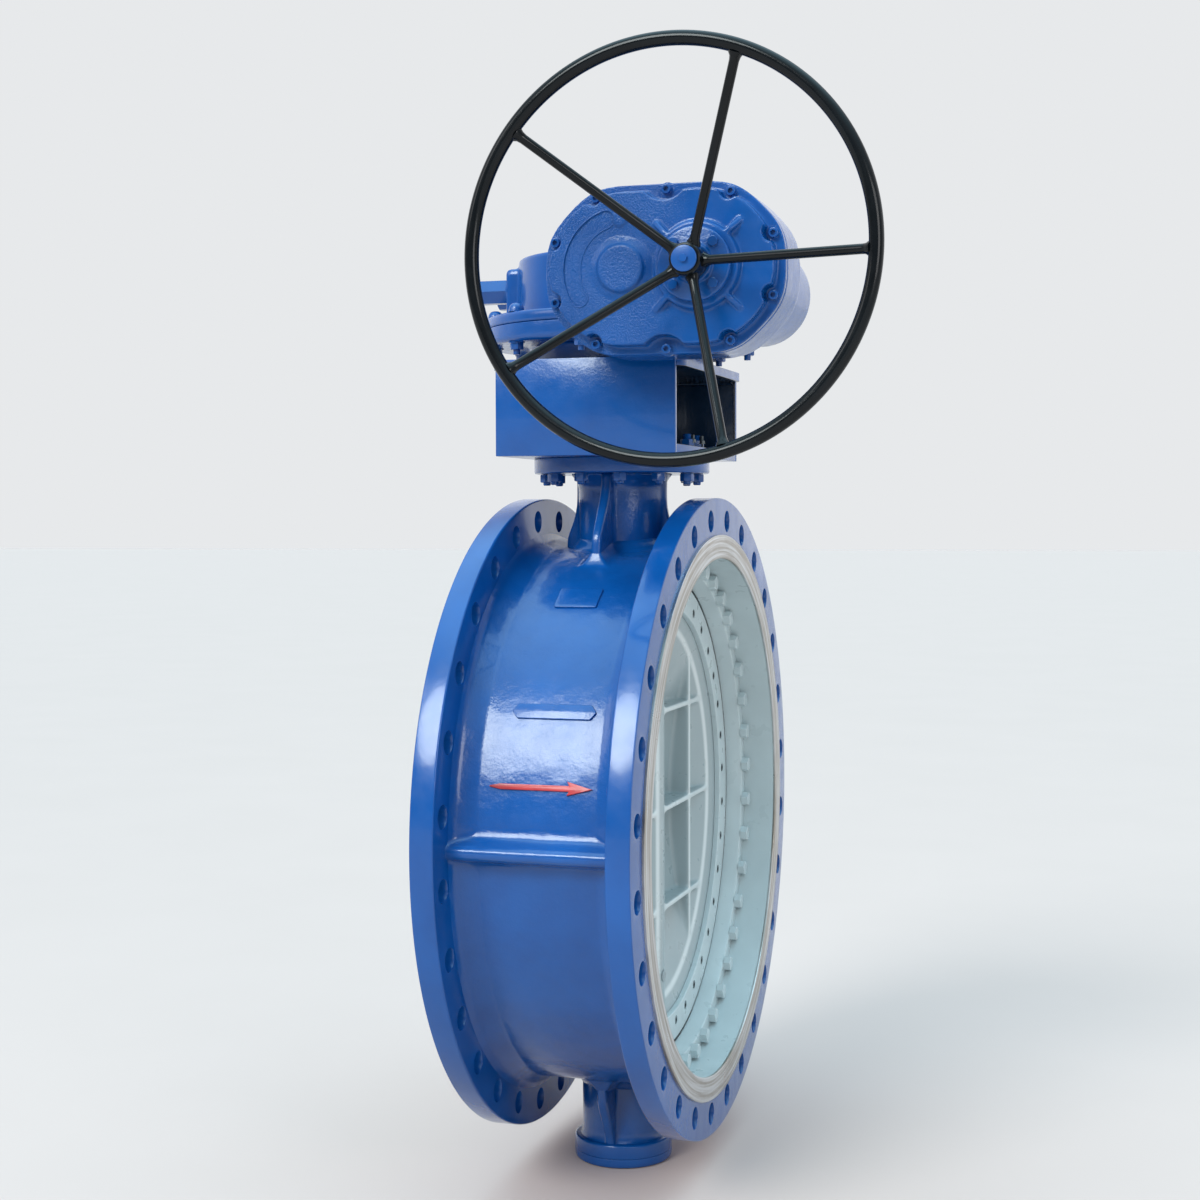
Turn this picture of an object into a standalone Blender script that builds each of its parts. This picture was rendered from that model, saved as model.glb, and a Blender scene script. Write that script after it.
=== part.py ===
"""Double-flanged butterfly valve, DN 1000 PN 16, with worm gearbox, spur reducer and handwheel.

Frame: origin at the valve's centre, where the pipe axis (X) meets the stem axis (Z).
+X points downstream through the front flange, -Y towards the handwheel, +Z up the stem.
"""
import math

import bmesh
import bpy
from mathutils import Matrix, Vector

# ---------------------------------------------------------------- driving dimensions, metres
GAP = 0.0003                # air left between pieces that touch on the real valve

# pipe flanges and barrel
HALF_LENGTH = 0.205         # half the face-to-face length of 410 mm
FLANGE_R = 0.6275
FLANGE_THICK = 0.045
RAISED_R = 0.555
RAISED_H = 0.005
BOLT_CIRCLE_R = 0.585
BOLT_HOLE_R = 0.021
BOLT_COUNT = 28
BARREL_R = 0.530
HUB_R = 0.548
BORE_R = 0.500
POCKET_R = 0.508            # wider bore in front of the seat
SHOULDER_R = 0.482
SEAT_X = 0.0747             # where the seat ring rests
SEAT_BACK_R = 0.4755        # the seat ring's cone, wide behind and narrow in front
SEAT_FRONT_R = 0.4713
KEEPER_X = 0.1000           # ring bolted over the seat ring
KEEPER_FACE_X = 0.134
KEEPER_BACK_R = 0.4720
KEEPER_FACE_R = 0.4780
RIB_TOP = 0.560
RIB_THICK = 0.024

# necks and the flange under the yoke
NECK_R = 0.086
TOP_FLANGE_R = 0.175
TOP_FLANGE_Z = 0.676
YOKE_Z = 0.706
BOTTOM_NECK_R = 0.082
COLLAR_R = 0.098
COLLAR_Z = -0.653
COVER_Z = -0.681
BOTTOM_Z = -0.700
NECK_ROOT = 0.512           # where a neck starts, inside the barrel wall
NECK_TOP = 0.690            # where it ends, inside the top flange
FOOT_END = -0.665           # where the bottom neck ends, inside its collar
GUSSET_THICK = 0.020
STUD_COUNT = 12
STUD_CIRCLE_R = 0.150
STUD_R = 0.0080
STUD_HOLE_R = 0.0090
NUT_R = 0.0139

# stem, bushes and gland
STEM_R = 0.0545
STEM_TOP_R = 0.0475
STEM_BORE_R = 0.065
STEM_BOTTOM = -0.655
STEM_SHOULDER = 0.770
STEM_TOP = 1.075
BOX_R = 0.080               # stuffing box
BOX_Z = 0.622
PACKING_TOP = 0.6900
GLAND_PLATE_Z = 0.730
GLAND_TOP = 0.746
GLAND_STUD_Y = 0.103
GLAND_STUD_R = 0.0060

# disc
DISC_RING_X = 0.0893        # front of the disc, where its retaining ring is screwed on
SEAL_R = 0.472
DISC_HUB_R = 0.084
DISC_HUB_Z = 0.448
LATTICE_X = 0.080
LATTICE_Y = 0.230
LATTICE_Z = 0.200
LATTICE_R = 0.382           # where the ribs run out into the dish
LATTICE_THICK = 0.014
PIN_R = 0.012
PIN_Z = 0.330
# (radius, x) of the dished plate, centre to rim in front, then rim to centre behind
DISH_FRONT = [(0.0, 0.014), (0.10, 0.018), (0.20, 0.030), (0.30, 0.052), (0.376, 0.080),
              (0.405, DISC_RING_X)]
DISH_BACK = [(0.440, 0.050), (0.40, 0.036), (0.30, 0.014), (0.20, -0.006), (0.10, -0.018),
             (0.0, -0.022)]

# yoke bracket
YOKE_TOP = 0.889
YOKE_X = 0.177
YOKE_Y = 0.247
YOKE_WALL = 0.012
YOKE_FLOOR = 0.020
YOKE_TOP_THICK = 0.018
YOKE_TOP_X = 0.190
YOKE_TOP_Y = 0.240

# gearbox
GEARBOX_R = 0.270
SEAM_Z = 0.960
HOUSING_R = 0.207
QUADRANT_HOUSING_R = 0.214
QUADRANT_CAVITY_R = 0.200
QUADRANT_HALF_ANGLE = math.radians(115)
HOUSING_TOP = 1.100
WALL = 0.014
AXIS_Z = 1.0267             # height of the worm, layshaft and handwheel axes
WORM_X = 0.267
TUNNEL_R = 0.098            # drum round the worm
TUNNEL_BORE_R = 0.086
END_COVER_R = 0.068
TUNNEL_FRONT = -0.2717
TUNNEL_BACK = 0.0887

# worm and quadrant: 60 teeth to the turn, one thread start
WHEEL_TEETH = 60
WHEEL_PITCH_R = 0.190
THREAD_PITCH = 2 * math.pi * WHEEL_PITCH_R / WHEEL_TEETH
THREAD_TURNS = 4
THREAD_TIP_R = 0.083
WORM_CORE_R = 0.0685
WORM_SHAFT_R = 0.020
WHEEL_THICK = 0.040

# spur reducer: two equal stages, 14 teeth driving 28, folded back on the worm's axis
LAY_X = 0.128
SPUR_TEETH = 14
SPUR_MODULE = 2 * (WORM_X - LAY_X) / (3 * SPUR_TEETH)
CASE_BACK = -0.272
CASE_SPLIT = -0.385
CASE_R = 0.150
CASE_LOBE = 0.004
CASE_CAVITY_R = 0.126
CASE_BACK_WALL = 0.012
COVER_FLANGE_Y = -0.400
COVER_FACE_Y = -0.430
COVER_PANEL_R = 0.122
COVER_INSIDE_Y = -0.398
CAP_FACE_Y = -0.460
SLOW_STAGE_Y = -0.310
FAST_STAGE_Y = -0.380
GEAR_THICK = 0.024
INPUT_SHAFT_R = 0.0145

# handwheel
RIM_R = 0.344
RIM_TUBE_R = 0.0125
RIM_Y = -0.627
SPOKE_R = 0.0085
SPOKE_COUNT = 5
SPOKE_PHASE = math.radians(-52.05)   # first spoke, from +Z towards +X
HUB_OUTER_R = 0.029
HUB_BACK_Y = -0.470
HUB_FRONT_Y = -0.5217

# how many sides a round piece has
RING_STEPS = 48
DISC_STEPS = 40
BROAD_STEPS = 32
SHAFT_STEPS = 20
BEARING_STEPS = 16
HOLE_STEPS = 8
GEARBOX_STEPS = 40

# name: (red, green, blue), roughness, metallic
FINISHES = {
    "paint": ((0.030, 0.150, 0.480), 0.30, 0.0),
    "epoxy": ((0.560, 0.610, 0.600), 0.45, 0.0),
    "steel": ((0.550, 0.560, 0.570), 0.35, 1.0),
    "bronze": ((0.480, 0.330, 0.150), 0.40, 1.0),
    "rubber": ((0.030, 0.030, 0.030), 0.75, 0.0),
    "gloss_black": ((0.015, 0.016, 0.020), 0.20, 0.0),
}


# ---------------------------------------------------------------- helpers
def clear_scene():
    """Remove every object the file starts with."""
    for obj in list(bpy.data.objects):
        bpy.data.objects.remove(obj, do_unlink=True)


def new_collection(name):
    """Make a collection under the scene."""
    collection = bpy.data.collections.new(name)
    bpy.context.scene.collection.children.link(collection)
    return collection


def finish(obj, name, finish_name):
    """Name a finished piece, give it its material and round its shading."""
    red_green_blue, roughness, metallic = FINISHES[finish_name]
    obj.name = name
    obj.data.name = name
    material = bpy.data.materials.new(name + "_" + finish_name)
    material.use_nodes = True
    shader = material.node_tree.nodes["Principled BSDF"]
    shader.inputs["Base Color"].default_value = (*red_green_blue, 1.0)
    shader.inputs["Roughness"].default_value = roughness
    shader.inputs["Metallic"].default_value = metallic
    material.diffuse_color = (*red_green_blue, 1.0)
    obj.data.materials.clear()
    obj.data.materials.append(material)
    obj.data.shade_smooth()
    obj.data.set_sharp_from_angle(angle=math.radians(30))
    return obj


def link(mesh, name):
    """Put a mesh in the valve's collection as a new object."""
    obj = bpy.data.objects.new(name, mesh)
    PARTS.objects.link(obj)
    return obj


def from_bmesh(bm, name):
    """Turn a bmesh into an object of the valve's collection."""
    bmesh.ops.recalc_face_normals(bm, faces=bm.faces)
    mesh = bpy.data.meshes.new(name)
    bm.to_mesh(mesh)
    bm.free()
    return link(mesh, name)


def park(obj):
    """Move a cutter or an addition out of the parts, to the shapers' collection."""
    PARTS.objects.unlink(obj)
    SHAPERS.objects.link(obj)
    obj.hide_render = True
    obj.display_type = "WIRE"


def shape(target, tool, operation):
    """Add an exact Boolean of a tool to a piece."""
    park(tool)
    modifier = target.modifiers.new(tool.name, "BOOLEAN")
    modifier.operation = operation
    modifier.solver = "EXACT"
    modifier.object = tool


def join(target, *tools):
    """Weld tools on to a piece."""
    for tool in tools:
        shape(target, tool, "UNION")


def cut(target, *tools):
    """Cut tools out of a piece."""
    for tool in tools:
        shape(target, tool, "DIFFERENCE")


def aim(obj, axis, centre=(0.0, 0.0, 0.0)):
    """Lay an object's own Z axis along a world axis and move it to a centre."""
    turns = {"X": (0.0, math.pi / 2, 0.0), "Y": (-math.pi / 2, 0.0, 0.0), "Z": (0.0, 0.0, 0.0)}
    obj.rotation_euler = turns[axis]
    obj.location = centre
    return obj


def turned(name, profile, axis="Z", centre=(0.0, 0.0, 0.0), steps=SHAFT_STEPS):
    """Turn (radius, height) points about an axis.

    The points run down the outside from the top. A profile that starts on the axis ends
    on it, and any other is a closed loop that comes back up the inside.
    """
    count = len(profile)
    edges = [(i, i + 1) for i in range(count - 1)]
    if profile[0][0] > 0.0:
        edges.append((count - 1, 0))
    mesh = bpy.data.meshes.new(name)
    mesh.from_pydata([(radius, 0.0, height) for radius, height in profile], edges, [])
    obj = link(mesh, name)
    screw = obj.modifiers.new("turn", "SCREW")
    screw.axis = "Z"
    screw.angle = 2 * math.pi
    screw.steps = steps
    screw.render_steps = steps
    screw.use_merge_vertices = True
    screw.merge_threshold = 0.00001
    return aim(obj, axis, centre)


def ring(name, outer, inner, low, high, axis="Z", centre=(0.0, 0.0, 0.0), steps=SHAFT_STEPS):
    """A plain ring between two heights on an axis."""
    profile = [(outer, high), (outer, low), (inner, low), (inner, high)]
    return turned(name, profile, axis, centre, steps)


def rod(name, radius, start, end, sides=SHAFT_STEPS):
    """A cylinder between two points."""
    return rods(name, radius, [(start, end)], sides)


def rods(name, radius, pairs, sides):
    """Several equal cylinders in one tool, which don't touch each other."""
    bm = bmesh.new()
    for start, end in pairs:
        start = Vector(start)
        run = Vector(end) - start
        turn = run.to_track_quat("Z", "Y").to_matrix().to_4x4()
        place = Matrix.Translation(start + run / 2) @ turn
        bmesh.ops.create_cone(bm, cap_ends=True, segments=sides, radius1=radius,
                              radius2=radius, depth=run.length, matrix=place)
    return from_bmesh(bm, name)


def block(name, low, high):
    """A box between its lowest and highest corners."""
    low, high = Vector(low), Vector(high)
    bm = bmesh.new()
    bmesh.ops.create_cube(bm, size=1.0)
    bmesh.ops.scale(bm, vec=high - low, verts=bm.verts)
    bmesh.ops.translate(bm, vec=(low + high) / 2, verts=bm.verts)
    return from_bmesh(bm, name)


def plate(name, outlines, low, high, plane):
    """A flat piece: closed outlines in a plane, the first outer and the rest holes.

    plane XY stands on Z, XZ on Y and YZ on X, and low and high are heights on that axis.
    """
    curve = bpy.data.curves.new(name, "CURVE")
    curve.dimensions = "2D"
    curve.fill_mode = "BOTH"
    curve.extrude = (high - low) / 2
    for outline in outlines:
        spline = curve.splines.new("POLY")
        spline.points.add(len(outline) - 1)
        for point, (u, v) in zip(spline.points, outline):
            point.co = (u, v, 0.0, 1.0)
        spline.use_cyclic_u = True
    columns = {"XY": ((1, 0, 0), (0, 1, 0), (0, 0, 1)),
               "XZ": ((1, 0, 0), (0, 0, 1), (0, -1, 0)),
               "YZ": ((0, 1, 0), (0, 0, 1), (1, 0, 0))}[plane]
    middle = (low + high) / 2
    standing = {"XY": (0, 0, middle), "XZ": (0, middle, 0), "YZ": (middle, 0, 0)}[plane]
    place = Matrix.Translation(standing) @ Matrix(columns).transposed().to_4x4()
    obj = bpy.data.objects.new(name, curve)
    PARTS.objects.link(obj)
    obj.matrix_world = place
    return mesh_of_curve(obj, name)


def mesh_of_curve(obj, name):
    """Replace a curve object by a welded mesh, so that it can be cut and joined."""
    bpy.context.view_layer.update()
    evaluated = obj.evaluated_get(bpy.context.evaluated_depsgraph_get())
    mesh = bpy.data.meshes.new_from_object(evaluated)
    place = obj.matrix_world.copy()
    bpy.data.objects.remove(obj, do_unlink=True)
    bm = bmesh.new()
    bm.from_mesh(mesh)
    bmesh.ops.remove_doubles(bm, verts=bm.verts, dist=0.00001)
    bmesh.ops.recalc_face_normals(bm, faces=bm.faces)
    bm.to_mesh(mesh)
    bm.free()
    solid = link(mesh, name)
    solid.matrix_world = place
    return solid


def circle(centre, radius, steps, start=0.0):
    """Points of a round outline."""
    turn = 2 * math.pi / steps
    return [(centre[0] + radius * math.cos(start + i * turn),
             centre[1] + radius * math.sin(start + i * turn)) for i in range(steps)]


def arc(centre, radius, start, end, steps):
    """Points of an arc, both ends included."""
    return [(centre[0] + radius * math.cos(start + (end - start) * i / steps),
             centre[1] + radius * math.sin(start + (end - start) * i / steps))
            for i in range(steps + 1)]


def around(radius, count, start):
    """(x, y) points evenly round a circle about the origin."""
    return circle((0.0, 0.0), radius, count, start)


# ---------------------------------------------------------------- valve body
def body_profile():
    """(radius, x) loop of the barrel and its two flanges, outside then inside."""
    back_of_flange = HALF_LENGTH - RAISED_H - FLANGE_THICK
    half = [(RAISED_R, HALF_LENGTH), (RAISED_R, HALF_LENGTH - RAISED_H),
            (FLANGE_R, HALF_LENGTH - RAISED_H), (FLANGE_R, back_of_flange),
            (HUB_R, back_of_flange), (BARREL_R, back_of_flange - 0.018)]
    outside = half + [(radius, -x) for radius, x in reversed(half)]
    inside = [(BORE_R, -HALF_LENGTH), (BORE_R, 0.040), (SHOULDER_R, 0.055),
              (SHOULDER_R, SEAT_X), (POCKET_R, SEAT_X), (POCKET_R, HALF_LENGTH)]
    return outside + inside


def flange_holes():
    """The pipe bolts' holes through both flanges, straddling the vertical."""
    inner = HALF_LENGTH - FLANGE_THICK - 0.015
    outer = HALF_LENGTH + 0.010
    pairs = []
    for y, z in around(BOLT_CIRCLE_R, BOLT_COUNT, math.pi / BOLT_COUNT):
        pairs.append(((inner, y, z), (outer, y, z)))
        pairs.append(((-outer, y, z), (-inner, y, z)))
    return rods("flange_hole_cutter", BOLT_HOLE_R, pairs, HOLE_STEPS)


def stud_holes(name, low, high):
    """Holes for the studs between the valve's top flange and the yoke."""
    spots = around(STUD_CIRCLE_R, STUD_COUNT, math.pi / STUD_COUNT)
    return rods(name, STUD_HOLE_R, [((x, y, low), (x, y, high)) for x, y in spots],
                HOLE_STEPS)


def gussets():
    """Webs that carry the necks on the barrel."""
    half = GUSSET_THICK / 2
    webs = []
    for side in (-1, 1):
        top = [(0.070, NECK_TOP), (0.110, NECK_TOP), (0.120, 0.640), (0.178, 0.548),
               (0.178, 0.492), (0.070, 0.520)]
        foot = [(0.070, -0.640), (0.098, -0.640), (0.150, -0.555), (0.150, -0.503),
                (0.070, -0.520)]
        flank = [(0.070, NECK_TOP), (0.093, NECK_TOP), (0.093, 0.590), (0.115, 0.545),
                 (0.115, 0.516), (0.070, 0.516)]
        webs.append(plate("top_gusset_tool", [[(side * y, z) for y, z in top]], -half, half, "YZ"))
        webs.append(plate("foot_gusset_tool", [[(side * y, z) for y, z in foot]], -half, half,
                          "YZ"))
        webs.append(plate("flank_gusset_tool", [[(side * x, z) for x, z in flank]], -half, half,
                          "XZ"))
    return webs


def valve_body():
    """Cast body: barrel, flanges, necks, gussets and side ribs."""
    body = turned("valve_body", body_profile(), "X", steps=RING_STEPS)
    flange_back = HALF_LENGTH - FLANGE_THICK
    join(body,
         rod("neck_tool", NECK_R, (0, 0, NECK_ROOT), (0, 0, NECK_TOP), BROAD_STEPS),
         rod("top_flange_tool", TOP_FLANGE_R, (0, 0, TOP_FLANGE_Z), (0, 0, YOKE_Z),
             BROAD_STEPS),
         rod("bottom_neck_tool", BOTTOM_NECK_R, (0, 0, FOOT_END), (0, 0, -NECK_ROOT),
             BROAD_STEPS),
         rod("collar_tool", COLLAR_R, (0, 0, COVER_Z), (0, 0, COLLAR_Z), BROAD_STEPS),
         block("front_rib_tool", (-flange_back, -RIB_TOP, -RIB_THICK / 2),
               (flange_back, -0.515, RIB_THICK / 2)),
         block("back_rib_tool", (-flange_back, 0.515, -RIB_THICK / 2),
               (flange_back, RIB_TOP, RIB_THICK / 2)),
         *gussets())
    cut(body,
        rod("upper_bore_cutter", STEM_BORE_R, (0, 0, 0.450), (0, 0, 0.720)),
        rod("stuffing_box_cutter", BOX_R, (0, 0, BOX_Z), (0, 0, 0.720)),
        rod("lower_bore_cutter", STEM_BORE_R, (0, 0, -0.720), (0, 0, -0.450)),
        rods("gland_hole_cutter", GLAND_STUD_R + 0.0008,
             [((0, y, 0.686), (0, y, 0.720)) for y in (-GLAND_STUD_Y, GLAND_STUD_Y)],
             HOLE_STEPS),
        stud_holes("body_stud_hole_cutter", 0.660, 0.720),
        flange_holes())
    finish(body, "valve_body", "paint")


def seat_rings():
    """Seat ring in the body's pocket and the ring that is bolted over it."""
    outer = POCKET_R - 0.0005
    seat = [(outer, KEEPER_X - GAP), (outer, SEAT_X + GAP), (SEAT_BACK_R, SEAT_X + GAP),
            (SEAT_FRONT_R, KEEPER_X - GAP)]
    keeper = [(outer, KEEPER_FACE_X), (outer, KEEPER_X), (KEEPER_BACK_R, KEEPER_X),
              (KEEPER_FACE_R, KEEPER_FACE_X)]
    finish(turned("seat", seat, "X", steps=RING_STEPS), "body_seat_ring", "steel")
    finish(turned("keeper", keeper, "X", steps=RING_STEPS), "seat_retaining_ring", "epoxy")


def bushes_and_bottom():
    """Stem bushes, the thrust bearing under the stem and the bottom cover."""
    outer = STEM_BORE_R - 0.0007
    inner = STEM_R + 0.0007
    finish(ring("upper", outer, inner, 0.5005, 0.6150), "upper_stem_bush", "bronze")
    finish(ring("lower", outer, inner, -0.6400, -0.5005), "lower_stem_bush", "bronze")
    thrust = [(0.0, STEM_BOTTOM - GAP), (0.060, STEM_BOTTOM - GAP), (0.060, COVER_Z + GAP),
              (0.0, COVER_Z + GAP)]
    finish(turned("thrust", thrust), "thrust_bearing", "bronze")
    cover = [(0.0, COVER_Z - GAP), (COLLAR_R, COVER_Z - GAP), (COLLAR_R, BOTTOM_Z + 0.003),
             (COLLAR_R - 0.003, BOTTOM_Z), (0.0, BOTTOM_Z)]
    finish(turned("cover", cover, steps=BROAD_STEPS), "bottom_cover", "paint")


def gland():
    """Packing in the stuffing box, the gland that presses it and its two studs."""
    inner = STEM_R + 0.0007
    outer = BOX_R - 0.0010
    finish(ring("packing", outer, inner, BOX_Z + GAP, PACKING_TOP), "stem_packing",
           "rubber")
    top = GLAND_TOP
    follower = ring("follower", outer, inner, PACKING_TOP + GAP, top)
    across = 0.092
    reach = GLAND_STUD_Y
    ear = 0.020
    oval = arc((0, reach), ear, 0, math.pi, 6) + [(-across, 0)]
    oval += arc((0, -reach), ear, math.pi, 2 * math.pi, 6) + [(across, 0)]
    hole = circle((0, 0), inner + 0.003, SHAFT_STEPS)
    join(follower, plate("gland_ears_tool", [oval, hole], GLAND_PLATE_Z, top, "XY"))
    cut(follower, rods("gland_ear_hole_cutter", GLAND_STUD_R + 0.0008,
                       [((0, y, 0.72), (0, y, 0.76)) for y in (-reach, reach)],
                       HOLE_STEPS))
    finish(follower, "gland_flange", "paint")
    stud = [(0.0, 0.772), (GLAND_STUD_R, 0.772), (GLAND_STUD_R, 0.757), (0.0104, 0.757),
            (0.0104, top + GAP), (GLAND_STUD_R, top + GAP), (GLAND_STUD_R, 0.6865),
            (0.0, 0.6865)]
    for number, side in enumerate((-1, 1), 1):
        piece = turned("stud", stud, "Z", (0, side * reach, 0), 6)
        finish(piece, f"gland_stud_{number}", "steel")


# ---------------------------------------------------------------- disc and stem
def dish_middle(radius):
    """x of the middle of the dished plate's wall at a radius."""
    def read(points):
        for (r0, x0), (r1, x1) in zip(points, points[1:]):
            if r0 <= radius <= r1:
                return x0 + (x1 - x0) * (radius - r0) / (r1 - r0)
        return points[-1][1]
    return (read(DISH_FRONT) + read(DISH_BACK[::-1])) / 2


def lattice_rib(name, offset, plane, skip=0.0):
    """A rib of the disc's front, from the lattice plane down into the dish.

    offset is its distance from the centre line, and skip leaves out the middle.
    """
    reach = math.sqrt(LATTICE_R ** 2 - offset ** 2)
    low, high = offset - LATTICE_THICK / 2, offset + LATTICE_THICK / 2
    steps = 4
    pieces = []
    for side in (-1, 1):
        along = [skip + (reach - skip) * i / steps for i in range(steps + 1)]
        outline = [(LATTICE_X, side * skip), (LATTICE_X, side * reach)]
        outline += [(dish_middle(math.hypot(s, offset)), side * s) for s in reversed(along)]
        pieces.append(plate(name, [outline], low, high, plane))
    return pieces


def disc():
    """Dished disc with its stem hub and the rib lattice on its front."""
    rim = [(0.451, DISC_RING_X), (0.451, 0.0780), (0.470, 0.0780), (0.470, 0.060)]
    plate_of_disc = turned("disc", DISH_FRONT + rim + DISH_BACK, "X", steps=DISC_STEPS)
    join(plate_of_disc, rod("hub_tool", DISC_HUB_R, (0, 0, -DISC_HUB_Z), (0, 0, DISC_HUB_Z),
                            BROAD_STEPS))
    for z in (-LATTICE_Z, 0.0, LATTICE_Z):
        join(plate_of_disc, *lattice_rib("level_rib_tool", z, "XY", skip=0.020))
    for y in (-LATTICE_Y, LATTICE_Y):
        join(plate_of_disc, *lattice_rib("upright_rib_tool", y, "XZ"))
    cut(plate_of_disc,
        rod("disc_bore_cutter", STEM_R + 0.0007, (0, 0, -0.50), (0, 0, 0.50)),
        pin_tool("disc_pin_cutter", PIN_R + 0.0004, 0.12))
    finish(plate_of_disc, "disc", "epoxy")


def pin_tool(name, radius, reach):
    """The two pins' holes across the hub."""
    return rods(name, radius, [((-reach, 0, z), (reach, 0, z)) for z in (-PIN_Z, PIN_Z)], 12)


def disc_trim():
    """Seal ring, its retaining ring and the pins that lock the disc to the stem."""
    seal = [(SEAL_R - 0.0020, DISC_RING_X), (SEAL_R, 0.0784), (0.4515, 0.0784),
            (0.4515, DISC_RING_X)]
    finish(turned("seal", seal, "X", steps=DISC_STEPS), "disc_seal_ring", "rubber")
    keeper = ring("keeper", 0.4665, 0.408, DISC_RING_X + 0.0005, 0.101, "X", steps=DISC_STEPS)
    finish(keeper, "disc_retaining_ring", "epoxy")
    for name, z in (("lower_disc_pin", -PIN_Z), ("upper_disc_pin", PIN_Z)):
        pin = rod("pin", PIN_R, (-0.086, 0, z), (0.086, 0, z), 12)
        finish(pin, name, "steel")


def stem():
    """One-piece stem from the thrust bearing up to the position pointer."""
    profile = [(0.0, 1.128), (0.016, 1.128), (0.016, STEM_TOP), (STEM_TOP_R, STEM_TOP),
               (STEM_TOP_R, STEM_SHOULDER), (STEM_R, STEM_SHOULDER - 0.010),
               (STEM_R, STEM_BOTTOM), (0.0, STEM_BOTTOM)]
    shaft = turned("stem", profile)
    cut(shaft, pin_tool("stem_pin_cutter", PIN_R + 0.0004, 0.10),
        block("stem_keyway_cutter", (0.0400, -0.0093, 0.984), (0.060, 0.0093, 1.090)))
    finish(shaft, "stem", "steel")
    key = block("key", (0.0404, -0.009, 0.9845), (0.0560, 0.009, 1.0680))
    finish(key, "wheel_key", "steel")


# ---------------------------------------------------------------- yoke
def rounded_rectangle(half_u, half_v, radius):
    """Outline of a rectangle with round corners."""
    points = []
    corners = ((1, 1), (-1, 1), (-1, -1), (1, -1))
    for quarter, (su, sv) in enumerate(corners):
        centre = (su * (half_u - radius), sv * (half_v - radius))
        start = quarter * math.pi / 2
        points += arc(centre, radius, start, start + math.pi / 2, 4)
    return points


def yoke_bracket():
    """Welded box, open to both ends of the pipe, that carries the gearbox."""
    low = YOKE_Z + GAP
    outer = [(-YOKE_Y, low), (YOKE_Y, low), (YOKE_Y, YOKE_TOP), (-YOKE_Y, YOKE_TOP)]
    y, floor = YOKE_Y - YOKE_WALL, low + YOKE_FLOOR
    ceiling = YOKE_TOP - YOKE_TOP_THICK - 0.002
    inner = [(-y, floor), (y, floor), (y, ceiling), (-y, ceiling)]
    bracket = plate("yoke", [outer, inner], -YOKE_X, YOKE_X, "YZ")
    top = rounded_rectangle(YOKE_TOP_X, YOKE_TOP_Y, 0.030)
    join(bracket, plate("yoke_top_tool", [top], YOKE_TOP - YOKE_TOP_THICK, YOKE_TOP - 0.0005,
                        "XY"))
    cut(bracket,
        rod("yoke_floor_hole_cutter", 0.126, (0, 0, 0.68), (0, 0, 0.75), BROAD_STEPS),
        rod("yoke_top_hole_cutter", 0.060, (0, 0, 0.84), (0, 0, 0.92)),
        stud_holes("yoke_stud_hole_cutter", 0.68, 0.75))
    finish(bracket, "yoke_bracket", "paint")


def mounting_studs():
    """Studs with a nut at each end that hold the yoke to the valve."""
    under = TOP_FLANGE_Z - GAP
    over = YOKE_Z + GAP + YOKE_FLOOR + GAP
    nut = 0.016
    profile = [(0.0, over + nut + 0.010), (STUD_R, over + nut + 0.010), (STUD_R, over + nut),
               (NUT_R, over + nut), (NUT_R, over), (STUD_R, over), (STUD_R, under),
               (NUT_R, under), (NUT_R, under - nut), (STUD_R, under - nut),
               (STUD_R, under - nut - 0.006), (0.0, under - nut - 0.006)]
    spots = around(STUD_CIRCLE_R, STUD_COUNT, math.pi / STUD_COUNT)
    for number, (x, y) in enumerate(spots, 1):
        piece = turned("stud", profile, "Z", (x, y, 0), 6)
        finish(piece, f"mounting_stud_{number:02d}", "paint")


# ---------------------------------------------------------------- gearbox
def quadrant_outline(small, large):
    """Outline about the stem that is wider on the side where the quadrant swings."""
    half = QUADRANT_HALF_ANGLE
    points = arc((0, 0), large, -half, half, 22)
    return points + arc((0, 0), small, half, 2 * math.pi - half, 12)


def gearbox():
    """Gearbox base and the housing over the quadrant and the worm."""
    foot = YOKE_TOP + GAP
    base = [(GEARBOX_R, SEAM_Z), (GEARBOX_R, 0.930), (0.165, 0.930), (0.165, foot),
            (0.070, foot), (0.070, SEAM_Z)]
    lower = turned("base", base, steps=GEARBOX_STEPS)
    cut(lower, rod("worm_notch_cutter", TUNNEL_R + 0.001, (WORM_X, -0.30, AXIS_Z),
                   (WORM_X, 0.15, AXIS_Z), BROAD_STEPS))
    finish(lower, "gearbox_base", "paint")

    low = SEAM_Z + GAP
    housing = rod("housing", GEARBOX_R, (0, 0, low), (0, 0, 0.984), GEARBOX_STEPS)
    join(housing,
         plate("shell_tool", [quadrant_outline(HOUSING_R, QUADRANT_HOUSING_R)], 0.975,
               HOUSING_TOP, "XY"),
         block("stop_boss_tool", (-0.2150, -0.090, 0.997), (-0.180, 0.090, 1.083)),
         rod("tunnel_tool", TUNNEL_R, (WORM_X, TUNNEL_FRONT, AXIS_Z),
             (WORM_X, TUNNEL_BACK, AXIS_Z), BROAD_STEPS))
    cut(housing,
        plate("cavity_cutter", [quadrant_outline(HOUSING_R - WALL, QUADRANT_CAVITY_R)], 0.940,
              HOUSING_TOP - WALL, "XY"),
        rod("tunnel_cutter", TUNNEL_BORE_R, (WORM_X, -0.30, AXIS_Z), (WORM_X, 0.12, AXIS_Z),
            BROAD_STEPS),
        rod("housing_top_hole_cutter", 0.060, (0, 0, 1.05), (0, 0, 1.13)),
        rod("end_cover_notch_cutter", END_COVER_R + 0.002, (WORM_X, TUNNEL_BACK, AXIS_Z),
            (WORM_X, 0.20, AXIS_Z), BROAD_STEPS))
    finish(housing, "gearbox_housing", "paint")


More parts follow.
